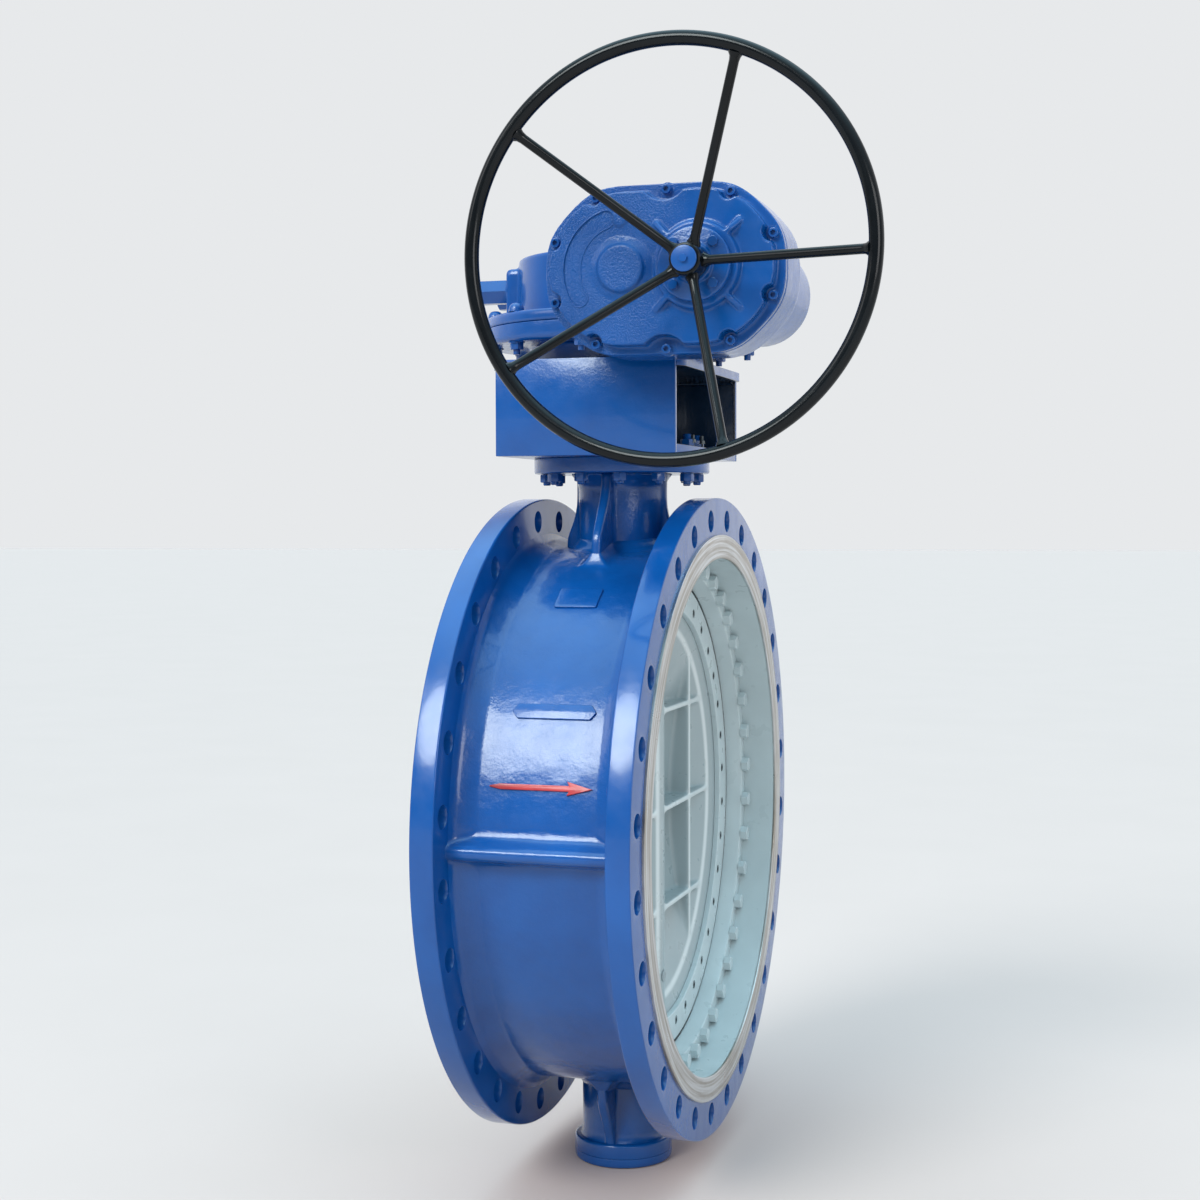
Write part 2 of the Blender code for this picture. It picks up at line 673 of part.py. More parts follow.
def gearbox_covers():
    """Position cover on top, the worm's end cover and the two stop screws' caps."""
    low = HOUSING_TOP + GAP
    lid = [(0.078, low + 0.012), (0.082, low + 0.009), (0.082, low), (0.019, low),
           (0.019, low + 0.012)]
    finish(turned("lid", lid, steps=BROAD_STEPS), "indicator_cover", "paint")
    dial = low + 0.012 + GAP
    hole = circle((0, 0), 0.0168, 16)
    needle = arc((0, 0), 0.026, math.radians(25), math.radians(335), 14) + [(0.070, 0.0)]
    finish(plate("pointer", [needle, hole], dial, dial + 0.006, "XY"), "position_pointer",
           "steel")

    back = TUNNEL_BACK + GAP
    end = [(0.0, back + 0.018), (0.036, back + 0.018), (0.039, back + 0.012),
           (END_COVER_R, back + 0.012), (END_COVER_R, back), (0.0, back)]
    finish(turned("end", end, "Y", (WORM_X, 0, AXIS_Z), BROAD_STEPS), "worm_end_cover", "paint")

    for name, y in (("stop_cap_closed", -0.055), ("stop_cap_open", 0.055)):
        profile = [(0.0, 0.0625), (0.023, 0.0625), (0.026, 0.0595), (0.026, 0.0), (0.0, 0.0)]
        cap = turned(name, profile, "X", (-0.2153, y, 1.040), 6)
        cap.rotation_euler = (0.0, -math.pi / 2, 0.0)
        finish(cap, name, "paint")


def quadrant():
    """Worm-wheel quadrant keyed to the stem; its teeth face the worm along +X."""
    step = 2 * math.pi / WHEEL_TEETH
    tip, root = WHEEL_PITCH_R + 0.006, WHEEL_PITCH_R - 0.0085
    first, last = -17, 2
    outline = [(0.075 * math.cos(a), 0.075 * math.sin(a))
               for a in (math.radians(60), math.radians(110), math.radians(160),
                         math.radians(205))]
    for tooth in range(first, last + 1):
        centre = tooth * step
        for radius, share in ((root, -0.27), (tip, -0.12), (tip, 0.12), (root, 0.27)):
            angle = centre + share * step
            outline.append((radius * math.cos(angle), radius * math.sin(angle)))
    low = AXIS_Z - WHEEL_THICK / 2
    wheel = plate("quadrant", [outline], low, low + WHEEL_THICK, "XY")
    join(wheel, rod("wheel_hub_tool", 0.085, (0, 0, 0.9850), (0, 0, 1.0683), BROAD_STEPS))
    cut(wheel,
        rod("wheel_bore_cutter", STEM_TOP_R + 0.0007, (0, 0, 0.95), (0, 0, 1.10)),
        block("wheel_keyway_cutter", (0.0, -0.0093, 0.95), (0.0564, 0.0093, 1.10)))
    finish(wheel, "worm_quadrant", "bronze")


def worm():
    """Worm cut on its shaft, right-handed, with the thread in mesh at rest."""
    profile = [(0.0, 0.087), (WORM_SHAFT_R, 0.087), (WORM_SHAFT_R, 0.060),
               (WORM_CORE_R, 0.055), (WORM_CORE_R, -0.055), (WORM_SHAFT_R, -0.060),
               (WORM_SHAFT_R, -0.335), (0.0, -0.335)]
    shaft = turned("worm", profile, "Y", (WORM_X, 0, AXIS_Z))
    steps = 12
    half_turns_down = -THREAD_TURNS / 2 * THREAD_PITCH
    bm = bmesh.new()
    section = [(WORM_CORE_R - 0.003, -0.0048), (THREAD_TIP_R, -0.0024),
               (THREAD_TIP_R, 0.0024), (WORM_CORE_R - 0.003, 0.0048)]
    corners = [bm.verts.new((radius, 0.0, half_turns_down + height)) for radius, height in section]
    face = bm.faces.new(corners)
    bmesh.ops.spin(bm, geom=[face, *face.edges, *face.verts], cent=(0, 0, 0), axis=(0, 0, 1),
                   dvec=(0, 0, THREAD_PITCH / steps), angle=2 * math.pi * THREAD_TURNS,
                   steps=steps * THREAD_TURNS, use_duplicate=False)
    thread = aim(from_bmesh(bm, "thread_tool"), "Y", (WORM_X, 0, AXIS_Z))
    join(shaft, thread)
    finish(shaft, "worm_shaft", "steel")


def bearing(name, inner, outer, low, high, x):
    """A plain ring that stands for a rolling bearing on a shaft along Y."""
    piece = ring("bearing", outer, inner, low, high, "Y", (x, 0, AXIS_Z), BEARING_STEPS)
    finish(piece, name, "steel")


# ---------------------------------------------------------------- spur reducer
def case_outline(radius, lobe, steps=16):
    """Oblong outline round the layshaft and the input, swelling at each screw."""
    points = []
    for centre, start in ((LAY_X, math.pi / 2), (WORM_X, -math.pi / 2)):
        for i in range(steps + 1):
            angle = start + math.pi * i / steps
            reach = radius + lobe * math.cos(8 * (angle - math.pi / 8))
            points.append((centre + reach * math.cos(angle), AXIS_Z + reach * math.sin(angle)))
    return points


def gear_outline(centre_x, teeth, phase):
    """Spur gear outline in the XZ plane, one tooth centred on the phase angle."""
    pitch_radius = SPUR_MODULE * teeth / 2
    tip = pitch_radius + 0.7 * SPUR_MODULE
    root = pitch_radius - 1.0 * SPUR_MODULE
    step = 2 * math.pi / teeth
    outline = []
    for tooth in range(teeth):
        for radius, share in ((root, -0.27), (tip, -0.10), (tip, 0.10), (root, 0.27)):
            angle = phase + (tooth + share) * step
            outline.append((centre_x + radius * math.cos(angle),
                            AXIS_Z + radius * math.sin(angle)))
    return outline


def spur_gear(name, centre_x, teeth, phase, middle_y, hole=None):
    """A spur gear standing on Y."""
    outlines = [gear_outline(centre_x, teeth, phase)]
    if hole:
        outlines.append(circle((centre_x, AXIS_Z), hole, SHAFT_STEPS))
    half = GEAR_THICK / 2
    return plate(name, outlines, middle_y - half, middle_y + half, "XZ")


def gear_train():
    """Input pinion, layshaft cluster and the output gear on the worm's shaft."""
    small_step = 2 * math.pi / SPUR_TEETH
    big = 2 * SPUR_TEETH
    input_shaft = rod("input", INPUT_SHAFT_R, (WORM_X, -0.5214, AXIS_Z),
                      (WORM_X, -0.345, AXIS_Z), 16)
    join(input_shaft, spur_gear("input_pinion_tool", WORM_X, SPUR_TEETH,
                                math.pi + small_step / 2, FAST_STAGE_Y))
    finish(input_shaft, "input_shaft", "steel")

    layshaft = rod("lay", 0.018, (LAY_X, -0.417, AXIS_Z), (LAY_X, -0.2765, AXIS_Z), 16)
    join(layshaft,
         spur_gear("lay_gear_tool", LAY_X, big, 0.0, FAST_STAGE_Y),
         spur_gear("lay_pinion_tool", LAY_X, SPUR_TEETH, small_step / 2, SLOW_STAGE_Y))
    finish(layshaft, "layshaft", "steel")

    output = spur_gear("output", WORM_X, big, math.pi, SLOW_STAGE_Y, WORM_SHAFT_R + 0.0006)
    finish(output, "output_gear", "steel")


def reducer():
    """Casing and cover of the spur reducer, with the bearing cap in front."""
    back, front = CASE_BACK, CASE_SPLIT
    case = plate("case", [case_outline(CASE_R, CASE_LOBE)], front, back, "XZ")
    cavity_front = front - 0.01
    cut(case,
        plate("case_cavity_cutter", [case_outline(CASE_CAVITY_R, 0.0, 12)], cavity_front,
              back - CASE_BACK_WALL, "XZ"),
        rod("case_shaft_hole_cutter", 0.030, (WORM_X, -0.31, AXIS_Z), (WORM_X, -0.25, AXIS_Z)),
        rod("case_bearing_cutter", 0.031, (LAY_X, -0.31, AXIS_Z), (LAY_X, -0.2755, AXIS_Z)))
    finish(case, "reducer_casing", "paint")

    cover = plate("cover", [case_outline(CASE_R, CASE_LOBE)], COVER_FLANGE_Y, front - GAP, "XZ")
    join(cover,
         plate("cover_panel_tool", [case_outline(COVER_PANEL_R, 0.0, 14)], COVER_FACE_Y,
               COVER_FLANGE_Y + 0.004, "XZ"),
         turned("lay_boss_tool", [(0.0, 0.041), (0.057, 0.041), (0.057, 0.005),
                                  (0.0425, -0.002), (0.0, -0.002)], "Y",
                (LAY_X, -0.435, AXIS_Z)),
         rod("input_boss_tool", 0.078, (WORM_X, -0.445, AXIS_Z), (WORM_X, -0.410, AXIS_Z),
             BROAD_STEPS))
    cut(cover,
        plate("cover_cavity_cutter", [case_outline(0.112, 0.0, 12)], COVER_INSIDE_Y, -0.37, "XZ"),
        rod("input_bore_cutter", 0.034, (WORM_X, -0.46, AXIS_Z), (WORM_X, -0.37, AXIS_Z)),
        rod("lay_bore_cutter", 0.031, (LAY_X, -0.419, AXIS_Z), (LAY_X, -0.37, AXIS_Z)))
    finish(cover, "reducer_cover", "paint")

    face = -0.445 - GAP
    cap = turned("cap", [(0.065, face), (0.065, CAP_FACE_Y + 0.003),
                         (0.062, CAP_FACE_Y), (0.034, CAP_FACE_Y), (0.031, -0.4675),
                         (0.0158, -0.4675), (0.0158, face)],
                 "Y", (WORM_X, 0, AXIS_Z))
    finish(cap, "input_bearing_cap", "paint")


def bearings():
    """Bearings of the worm, the layshaft and the input shaft."""
    bearing("worm_bearing_front", 0.0212, 0.0848, -0.262, -0.242, WORM_X)
    bearing("worm_bearing_rear", 0.0212, 0.0848, 0.0745, 0.088, WORM_X)
    bearing("layshaft_bearing_front", 0.0190, 0.0302, -0.4175, -0.4035, LAY_X)
    bearing("layshaft_bearing_rear", 0.0190, 0.0302, -0.2835, -0.2760, LAY_X)
    bearing("input_bearing", 0.0154, 0.0331, -0.425, -0.405, WORM_X)


# ---------------------------------------------------------------- handwheel
def handwheel():
    """Dished handwheel: rim, five straight spokes, hub and the cap that holds it."""
    centre = (WORM_X, 0, AXIS_Z)
    rim = [(RIM_R + RIM_TUBE_R * math.cos(a), RIM_Y + RIM_TUBE_R * math.sin(a))
           for a in (math.radians(90 - 45 * i) for i in range(8))]
    finish(turned("rim", rim, "Y", centre, RING_STEPS), "handwheel_rim", "gloss_black")

    hub = ring("hub", HUB_OUTER_R, INPUT_SHAFT_R + 0.0006, HUB_FRONT_Y, HUB_BACK_Y, "Y", centre)
    finish(hub, "handwheel_hub", "gloss_black")

    cap = [(0.0, HUB_FRONT_Y - GAP), (0.0225, HUB_FRONT_Y - GAP), (0.0225, -0.5265),
           (0.0215, -0.5275), (0.0075, -0.5275), (0.0075, -0.5335), (0.0, -0.5335)]
    finish(turned("cap", cap, "Y", centre), "handwheel_cap", "paint")

    hub_contact = 0.0335
    slope = (RIM_Y + 0.498) / (RIM_R - hub_contact)
    length = math.hypot(1.0, slope)
    stand_off = RIM_TUBE_R + 0.0008
    start = (hub_contact, RIM_Y - slope * (RIM_R - hub_contact))
    end = (RIM_R - stand_off / length, RIM_Y - stand_off * slope / length)
    for number in range(SPOKE_COUNT):
        angle = SPOKE_PHASE + number * 2 * math.pi / SPOKE_COUNT
        out = Vector((math.sin(angle), 0.0, math.cos(angle)))
        ends = [Vector(centre) + out * reach + Vector((0.0, y, 0.0)) for reach, y in (start, end)]
        spoke = rod("spoke", SPOKE_R, ends[0], ends[1], 10)
        finish(spoke, f"handwheel_spoke_{number + 1}", "gloss_black")


# ---------------------------------------------------------------- joint axes
def hinge(name, place, pieces):
    """Hang moving pieces on an empty that stands on their joint's axis."""
    empty = bpy.data.objects.new(name, None)
    empty.location = place
    empty.empty_display_size = 0.1
    PARTS.objects.link(empty)
    bpy.context.view_layer.update()
    for piece in pieces:
        obj = bpy.data.objects[piece]
        obj.parent = empty
        obj.matrix_parent_inverse = empty.matrix_world.inverted()


def hinges():
    """The valve's four turning bodies: disc on Z, the rest on axes along Y."""
    spokes = [f"handwheel_spoke_{number + 1}" for number in range(SPOKE_COUNT)]
    hinge("disc_axis", (0, 0, 0),
          ["disc", "disc_seal_ring", "disc_retaining_ring", "lower_disc_pin", "upper_disc_pin",
           "stem", "wheel_key", "worm_quadrant", "position_pointer"])
    hinge("worm_axis", (WORM_X, 0, AXIS_Z), ["worm_shaft", "output_gear"])
    hinge("layshaft_axis", (LAY_X, 0, AXIS_Z), ["layshaft"])
    hinge("handwheel_axis", (WORM_X, 0, AXIS_Z),
          ["input_shaft", "handwheel_hub", "handwheel_rim", "handwheel_cap", *spokes])


# ---------------------------------------------------------------- build
clear_scene()
PARTS = new_collection("butterfly_valve")
SHAPERS = new_collection("shapers")

valve_body()
seat_rings()
bushes_and_bottom()
gland()
disc()
disc_trim()
stem()
yoke_bracket()
mounting_studs()
gearbox()
gearbox_covers()
quadrant()
worm()
gear_train()
reducer()
bearings()
handwheel()
hinges()
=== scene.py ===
"""Finished look of a gear-operated butterfly valve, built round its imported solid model.

Frame, in metres: origin at the valve's centre, +X downstream along the pipe, -Y towards the
handwheel, +Z up the stem. Every piece is made in place and rides on the body it belongs to.
"""
import math

import bmesh
import bpy
import numpy as np
from mathutils import Matrix, Vector, noise


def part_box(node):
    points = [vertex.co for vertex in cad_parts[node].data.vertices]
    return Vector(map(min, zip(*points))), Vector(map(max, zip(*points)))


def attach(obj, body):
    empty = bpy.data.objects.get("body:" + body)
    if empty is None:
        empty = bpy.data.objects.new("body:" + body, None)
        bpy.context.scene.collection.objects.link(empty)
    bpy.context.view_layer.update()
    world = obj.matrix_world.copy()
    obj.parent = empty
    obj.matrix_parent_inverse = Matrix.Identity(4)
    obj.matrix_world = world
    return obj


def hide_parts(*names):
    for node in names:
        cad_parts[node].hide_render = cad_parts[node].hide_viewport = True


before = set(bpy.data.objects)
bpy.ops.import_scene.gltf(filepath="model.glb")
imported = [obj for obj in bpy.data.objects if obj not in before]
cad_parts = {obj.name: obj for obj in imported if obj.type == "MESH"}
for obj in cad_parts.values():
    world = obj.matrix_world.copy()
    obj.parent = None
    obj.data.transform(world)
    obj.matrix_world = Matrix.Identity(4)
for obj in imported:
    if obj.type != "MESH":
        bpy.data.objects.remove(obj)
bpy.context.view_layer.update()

# ---------------------------------------------------------------- sizes from the frame
BODY_LOW, BODY_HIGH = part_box("valve_body")
HALF_LENGTH = BODY_HIGH.x
FLANGE_R = BODY_HIGH.y
COVER_Z = BODY_LOW.z
YOKE_Z = BODY_HIGH.z
BOTTOM_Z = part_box("bottom_cover")[0].z
YOKE_LOW, YOKE_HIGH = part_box("yoke_bracket")
RIM_LOW, RIM_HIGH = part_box("handwheel_rim")
WHEEL_X = (RIM_LOW.x + RIM_HIGH.x) / 2
AXIS_Z = (RIM_LOW.z + RIM_HIGH.z) / 2
WHEEL_AXIS = (WHEEL_X, 0, AXIS_Z)
RIM_Y = (RIM_LOW.y + RIM_HIGH.y) / 2
RIM_TUBE_R = (RIM_HIGH.y - RIM_LOW.y) / 2
RIM_R = (RIM_HIGH.x - RIM_LOW.x) / 2 - RIM_TUBE_R
HUB_LOW, HUB_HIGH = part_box("handwheel_hub")
LAY_LOW, LAY_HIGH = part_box("layshaft")
LAY_X = (LAY_LOW.x + LAY_HIGH.x) / 2
LAY_AXIS = (LAY_X, 0, AXIS_Z)
CASE_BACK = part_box("reducer_casing")[1].y
CASE_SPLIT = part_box("reducer_casing")[0].y
BASE_LOW, BASE_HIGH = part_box("gearbox_base")
SEAM_Z = BASE_HIGH.z
GEARBOX_R = BASE_HIGH.y
UNDER_Z = SEAM_Z - 0.034
HOUSING_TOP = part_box("indicator_cover")[0].z - 0.0003
DISC_RING_LOW, DISC_RING_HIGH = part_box("disc_retaining_ring")
KEEPER_LOW, KEEPER_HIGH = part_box("seat_retaining_ring")

# sizes that a box can't give, the same as in the solid model
FLANGE_THICK = 0.045
RAISED_R = 0.555
RAISED_H = 0.005
BOLT_CIRCLE_R = 0.585
BOLT_HOLE_R = 0.021
BOLT_COUNT = 28
BARREL_R = 0.530
BORE_R = 0.500
POCKET_R = 0.508
SHOULDER_R = 0.482
SEAT_X = 0.0747
LINING_R = 0.519
NECK_R = 0.086
BOTTOM_NECK_R = 0.082
TOP_FLANGE_R = 0.175
TOP_FLANGE_Z = 0.676
COLLAR_R = 0.098
COLLAR_Z = -0.653
STEM_BORE_R = 0.065
STUD_COUNT = 12
STUD_CIRCLE_R = 0.150
STUD_HOLE_R = 0.009
DISC_HUB_R = 0.084
DISC_HUB_Z = 0.448
DISC_RING_X = 0.0893
LATTICE_X = 0.080
DISH_FRONT = [(0.0, 0.014), (0.10, 0.018), (0.20, 0.030), (0.30, 0.052), (0.376, 0.080),
    (0.405, DISC_RING_X)]
DISH_BACK = [(0.440, 0.050), (0.40, 0.036), (0.30, 0.014), (0.20, -0.006), (0.10, -0.018),
    (0.0, -0.022)]
SEAT_BOLT_COUNT = 40
SEAT_BOLT_R = 0.490
DISC_SCREW_COUNT = 36
DISC_SCREW_R = 0.430
HOUSING_R = 0.207
RIM_TOP_Z = 0.984
TUNNEL_R = 0.098
TUNNEL_FRONT = -0.2717
TUNNEL_BACK = 0.0887
CASE_R = 0.1515
CASE_LOBE = 0.0015
COVER_SCREW_R = 0.140
SPOKE_R = 0.0085
SPOKE_PHASE = math.radians(-52.05)

YOKE_X = 0.177
YOKE_WALL = 0.012
YOKE_FLOOR_Z = YOKE_LOW.z + 0.020
YOKE_CEILING_Z = YOKE_HIGH.z - 0.0185
YOKE_INSIDE_Y = YOKE_HIGH.y - YOKE_WALL

# camera, fitted to the photographed view
CAMERA_PLACE = (1.107, -3.695, 0.582)
CAMERA_AZIMUTH = math.radians(17.34)
CAMERA_ELEVATION = math.radians(2.34)
CAMERA_ROLL = math.radians(-0.16)
CAMERA_LENS = 57.72
SENSOR = 36.0


# ---------------------------------------------------------------- mesh helpers
def make(name, verts, faces):
    """A new object from points and faces, welded and with its faces turned outwards."""
    mesh = bpy.data.meshes.new(name)
    mesh.from_pydata([tuple(v) for v in verts], [], faces)
    bm = bmesh.new()
    bm.from_mesh(mesh)
    bmesh.ops.remove_doubles(bm, verts=bm.verts, dist=1e-6)
    bmesh.ops.recalc_face_normals(bm, faces=bm.faces)
    bm.to_mesh(mesh)
    bm.free()
    return shown(name, mesh)


def shown(name, data):
    """A new object in the scene that holds a mesh, a light or a camera."""
    obj = bpy.data.objects.new(name, data)
    bpy.context.scene.collection.objects.link(obj)
    return obj


def aimed(points, axis, centre):
    """Points made about Z, turned on to a world axis and moved to a centre."""
    columns = {"X": ((0, 1, 0), (0, 0, 1), (1, 0, 0)), "Y": ((0, 0, 1), (1, 0, 0), (0, 1, 0)),
        "Z": ((1, 0, 0), (0, 1, 0), (0, 0, 1))}[axis]
    turn = Matrix(columns).transposed()
    return [turn @ Vector(p) + Vector(centre) for p in points]


def rounded(points, closed=False, steps=4):
    """Round a line's corners: a point may carry a third number, its corner's radius."""
    made = []
    count = len(points)
    for i, point in enumerate(points):
        here = Vector(point[:2])
        size = point[2] if len(point) > 2 else 0.0
        if size == 0.0 or (not closed and i in (0, count - 1)):
            made.append(tuple(here))
            continue
        before = Vector(points[i - 1][:2]) - here
        after = Vector(points[(i + 1) % count][:2]) - here
        start = here + before.normalized() * min(size, before.length * 0.49)
        end = here + after.normalized() * min(size, after.length * 0.49)
        for k in range(steps + 1):
            t = k / steps
            made.append(tuple(start * (1 - t) ** 2 + here * 2 * t * (1 - t) + end * t * t))
    return made


def lathe(name, profile, axis="Z", centre=(0.0, 0.0, 0.0), steps=96, phase=0.0):
    """Turn (radius, height) points about an axis; a profile off the axis is a closed loop."""
    loop = profile[0][0] > 0.0
    profile = rounded(profile, closed=loop)
    verts, rings = [], []
    for radius, height in profile:
        if radius < 1e-7:
            rings.append([len(verts)] * steps)
            verts.append((0.0, 0.0, height))
            continue
        rings.append(list(range(len(verts), len(verts) + steps)))
        for k in range(steps):
            angle = phase + 2 * math.pi * k / steps
            verts.append((radius * math.cos(angle), radius * math.sin(angle), height))
    faces = []
    spans = len(rings) if loop else len(rings) - 1
    for i in range(spans):
        low, high = rings[i], rings[(i + 1) % len(rings)]
        for k in range(steps):
            n = (k + 1) % steps
            face = []
            for vert in (low[k], low[n], high[n], high[k]):
                if vert not in face:
                    face.append(vert)
            if len(face) > 2:
                faces.append(face)
    return make(name, aimed(verts, axis, centre), faces)


def rod(name, profile, axis="Z", centre=(0.0, 0.0, 0.0), steps=96):
    """A turned piece whose two ends are closed flat, on to the axis."""
    ends = (0.0, profile[0][1]), (0.0, profile[-1][1])
    return lathe(name, [ends[0], *profile, ends[1]], axis, centre, steps)


def slab(name, outline, low, high, plane="XY", bevel_width=0.0, segments=3):
    """A flat piece: a closed outline in a plane, between two heights on its normal."""
    count = len(outline)
    place = {"XY": lambda u, v, h: (u, v, h), "XZ": lambda u, v, h: (u, h, v), "YZ": lambda u, v,
        h: (h, u, v)}[plane]
    verts = [place(u, v, h) for h in (low, high) for u, v in outline]
    faces = [list(range(count)), list(range(count, 2 * count))]
    for i in range(count):
        n = (i + 1) % count
        faces.append([i, n, count + n, count + i])
    obj = make(name, verts, faces)
    if bevel_width:
        bevel(obj, bevel_width, segments)
    return obj


def brick(name, low, high, bevel_width=0.001):
    """A rectangular piece with eased edges."""
    outline = [(low[0], low[1]), (high[0], low[1]), (high[0], high[1]), (low[0], high[1])]
    return slab(name, outline, low[2], high[2], "XY", bevel_width, 2)


def bevel(obj, width, segments=3):
    """Ease an object's sharp edges."""
    modifier = obj.modifiers.new("eased edges", "BEVEL")
    modifier.width = width
    modifier.segments = segments
    modifier.limit_method = "ANGLE"
    modifier.angle_limit = math.radians(35)
    return obj


def circle(centre, radius, steps, start=0.0):
    """Points of a round outline."""
    turn = 2 * math.pi / steps
    return [(centre[0] + radius * math.cos(start + i * turn), centre[1] + radius * math.sin(start
        + i * turn)) for i in range(steps)]


def arc(centre, radius, start, end, steps):
    """Points of an arc, both ends included."""
    return [(centre[0] + radius * math.cos(start + (end - start) * i / steps),
        centre[1] + radius * math.sin(start + (end - start) * i / steps))
        for i in range(steps + 1)]


def baked(obj):
    """Replace an object's mesh by what its modifiers make of it."""
    bpy.context.view_layer.update()
    seen = obj.evaluated_get(bpy.context.evaluated_depsgraph_get())
    mesh = bpy.data.meshes.new_from_object(seen)
    mesh.name = obj.name
    obj.modifiers.clear()
    obj.data = mesh
    return obj


def merged(name, *parts):
    """Put several objects' finished meshes into one object and remove them."""
    bm = bmesh.new()
    for part in parts:
        baked(part)
        bm.from_mesh(part.data)
        bpy.data.objects.remove(part, do_unlink=True)
    mesh = bpy.data.meshes.new(name)
    bm.to_mesh(mesh)
    bm.free()
    return shown(name, mesh)


def cast(name, voxel, rounds, *parts):
    """Fuse overlapping shapes into one skin with soft corners, as a casting has."""
    obj = merged(name, *parts)
    remesh = obj.modifiers.new("skin", "REMESH")
    remesh.mode = "VOXEL"
    remesh.voxel_size = voxel
    smooth = obj.modifiers.new("soften", "SMOOTH")
    smooth.factor = 0.5
    smooth.iterations = rounds
    return baked(obj)


def cut(obj, *tools, operation="DIFFERENCE"):
    """Cut tools out of an object for good, or keep what it shares with them."""
    for tool in tools:
        modifier = obj.modifiers.new("cut", "BOOLEAN")
        modifier.operation = operation
        modifier.solver = "EXACT"
        modifier.object = tool
    baked(obj)
    for tool in tools:
        bpy.data.objects.remove(tool, do_unlink=True)
    return obj


def copies(name, pattern, places):
    """One object with a copy of a pattern at each (matrix) place; the pattern is removed."""
    baked(pattern)
    bm = bmesh.new()
    for place in places:
        start = len(bm.verts)
        bm.from_mesh(pattern.data)
        bm.verts.ensure_lookup_table()
        bmesh.ops.transform(bm, matrix=place, verts=bm.verts[start:])
    mesh = bpy.data.meshes.new(name)
    bm.to_mesh(mesh)
    bm.free()
    bpy.data.objects.remove(pattern, do_unlink=True)
    return shown(name, mesh)


def placed(x, y, z, axis="Z", spin=0.0):
    """Matrix that stands a pattern made about Z on an axis, with its +Z along it."""
    turns = {"Z": Matrix.Identity(4), "-Z": Matrix.Rotation(math.pi, 4, "X"),
        "X": Matrix.Rotation(math.pi / 2, 4, "Y"), "-X": Matrix.Rotation(-math.pi / 2, 4, "Y"),
        "Y": Matrix.Rotation(-math.pi / 2, 4, "X"), "-Y": Matrix.Rotation(math.pi / 2, 4, "X")}
    return Matrix.Translation((x, y, z)) @ turns[axis] @ Matrix.Rotation(spin, 4, "Z")


def spanned(obj, start, end):
    """Move a piece made along Z so that it runs from one point to another."""
    turn = (end - start).to_track_quat("Z", "Y").to_matrix().to_4x4()
    obj.data.transform(Matrix.Translation(start) @ turn)
    return obj


def done(obj, body, material, replaced=(), smooth_angle=32):
    """Shade a finished piece, paint it and set it on its body."""
    if obj.modifiers:
        baked(obj)
    obj.data.materials.clear()
    obj.data.materials.append(MATERIALS[material])
    obj.data.shade_smooth()
    obj.data.set_sharp_from_angle(angle=math.radians(smooth_angle))
    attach(obj, body)
    if replaced:
        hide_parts(*replaced)
    return obj


# ---------------------------------------------------------------- fasteners
def hex_shape(name, across_flats, height, chamfer=0.0012, both=False):
    """Hexagon head or nut about Z, standing on its origin, with its corners turned down."""
    corner = across_flats / math.sqrt(3)
    prism = slab(name, circle((0, 0), corner, 6), 0.0, height)
    foot = (across_flats / 2 * 0.97, 0.0) if both else (corner * 1.1, 0.0)
    rise = (corner * 1.02, chamfer * 1.2) if both else (corner * 1.1, chamfer)
    turned = lathe("turned", [(0.0, height), (across_flats / 2 * 0.97, height),
        (corner * 1.02, height - chamfer * 1.2), rise, foot, (0.0, 0.0)], steps=48)
    return bevel(cut(prism, turned, operation="INTERSECT"), 0.0003, 2)


def washer(name, radius, height):
    """A washer face about Z."""
    return rod(name, [(radius, height, 0.0004), (radius, 0.0)], steps=40)


def threaded(name, radius, low, high, pitch=0.002):
    """A threaded stub about Z: turned ridges with a chamfered end at the top."""
    count = max(2, round((high - low) / pitch))
    profile = [(0.0, high), (radius * 0.80, high)]
    for i in range(count):
        z = high - (i + 0.5) * (high - low) / count
        profile += [(radius, z), (radius * 0.9, z - 0.5 * (high - low) / count)]
    profile += [(radius * 0.9, low), (0.0, low)]
    return lathe(name, profile, steps=28)


def capped_hex(across_flats, height, chamfer, face_radius, face_height, both=False, *more):
    """A hexagon on its washer face, about Z, with anything more that belongs to it."""
    return merged("head", hex_shape("hexagon", across_flats, height, chamfer, both),
        washer("face", face_radius, face_height), *more)


def socket_screw(name, radius, height):
    """Socket-head screw about Z, with its hexagon hole."""
    head = rod(name, [(radius, height, 0.0011), (radius, 0.0)], steps=40)
    return cut(head, slab("key hole", circle((0, 0), radius * 0.58, 6), height * 0.35,
        height * 1.2))


STUD_SPOTS = circle((0, 0), STUD_CIRCLE_R, STUD_COUNT, math.pi / STUD_COUNT)


# ---------------------------------------------------------------- materials
def feed(tree, node, **inputs):
    """Set or link a node's inputs; a name has _ where the socket's has a space."""
    for key, value in inputs.items():
        socket = node.inputs[key.replace("_", " ")]
        if isinstance(value, bpy.types.NodeSocket):
            tree.links.new(value, socket)
        else:
            socket.default_value = value


def add(tree, kind, result, **inputs):
    """One output of a new node with these inputs."""
    node = tree.nodes.new("ShaderNode" + kind)
    feed(tree, node, **inputs)
    return node.outputs[result]


def sums(tree, operation, *values):
    """Output of a new math node over outputs and plain numbers."""
    node = tree.nodes.new("ShaderNodeMath")
    node.operation = operation
    for socket, value in zip(node.inputs, values):
        if isinstance(value, bpy.types.NodeSocket):
            tree.links.new(value, socket)
        else:
            socket.default_value = value
    return node.outputs[0]


def axes(tree, where):
    """The X, Y and Z of a vector output."""
    split = tree.nodes.new("ShaderNodeSeparateXYZ")
    feed(tree, split, Vector=where)
    return split.outputs


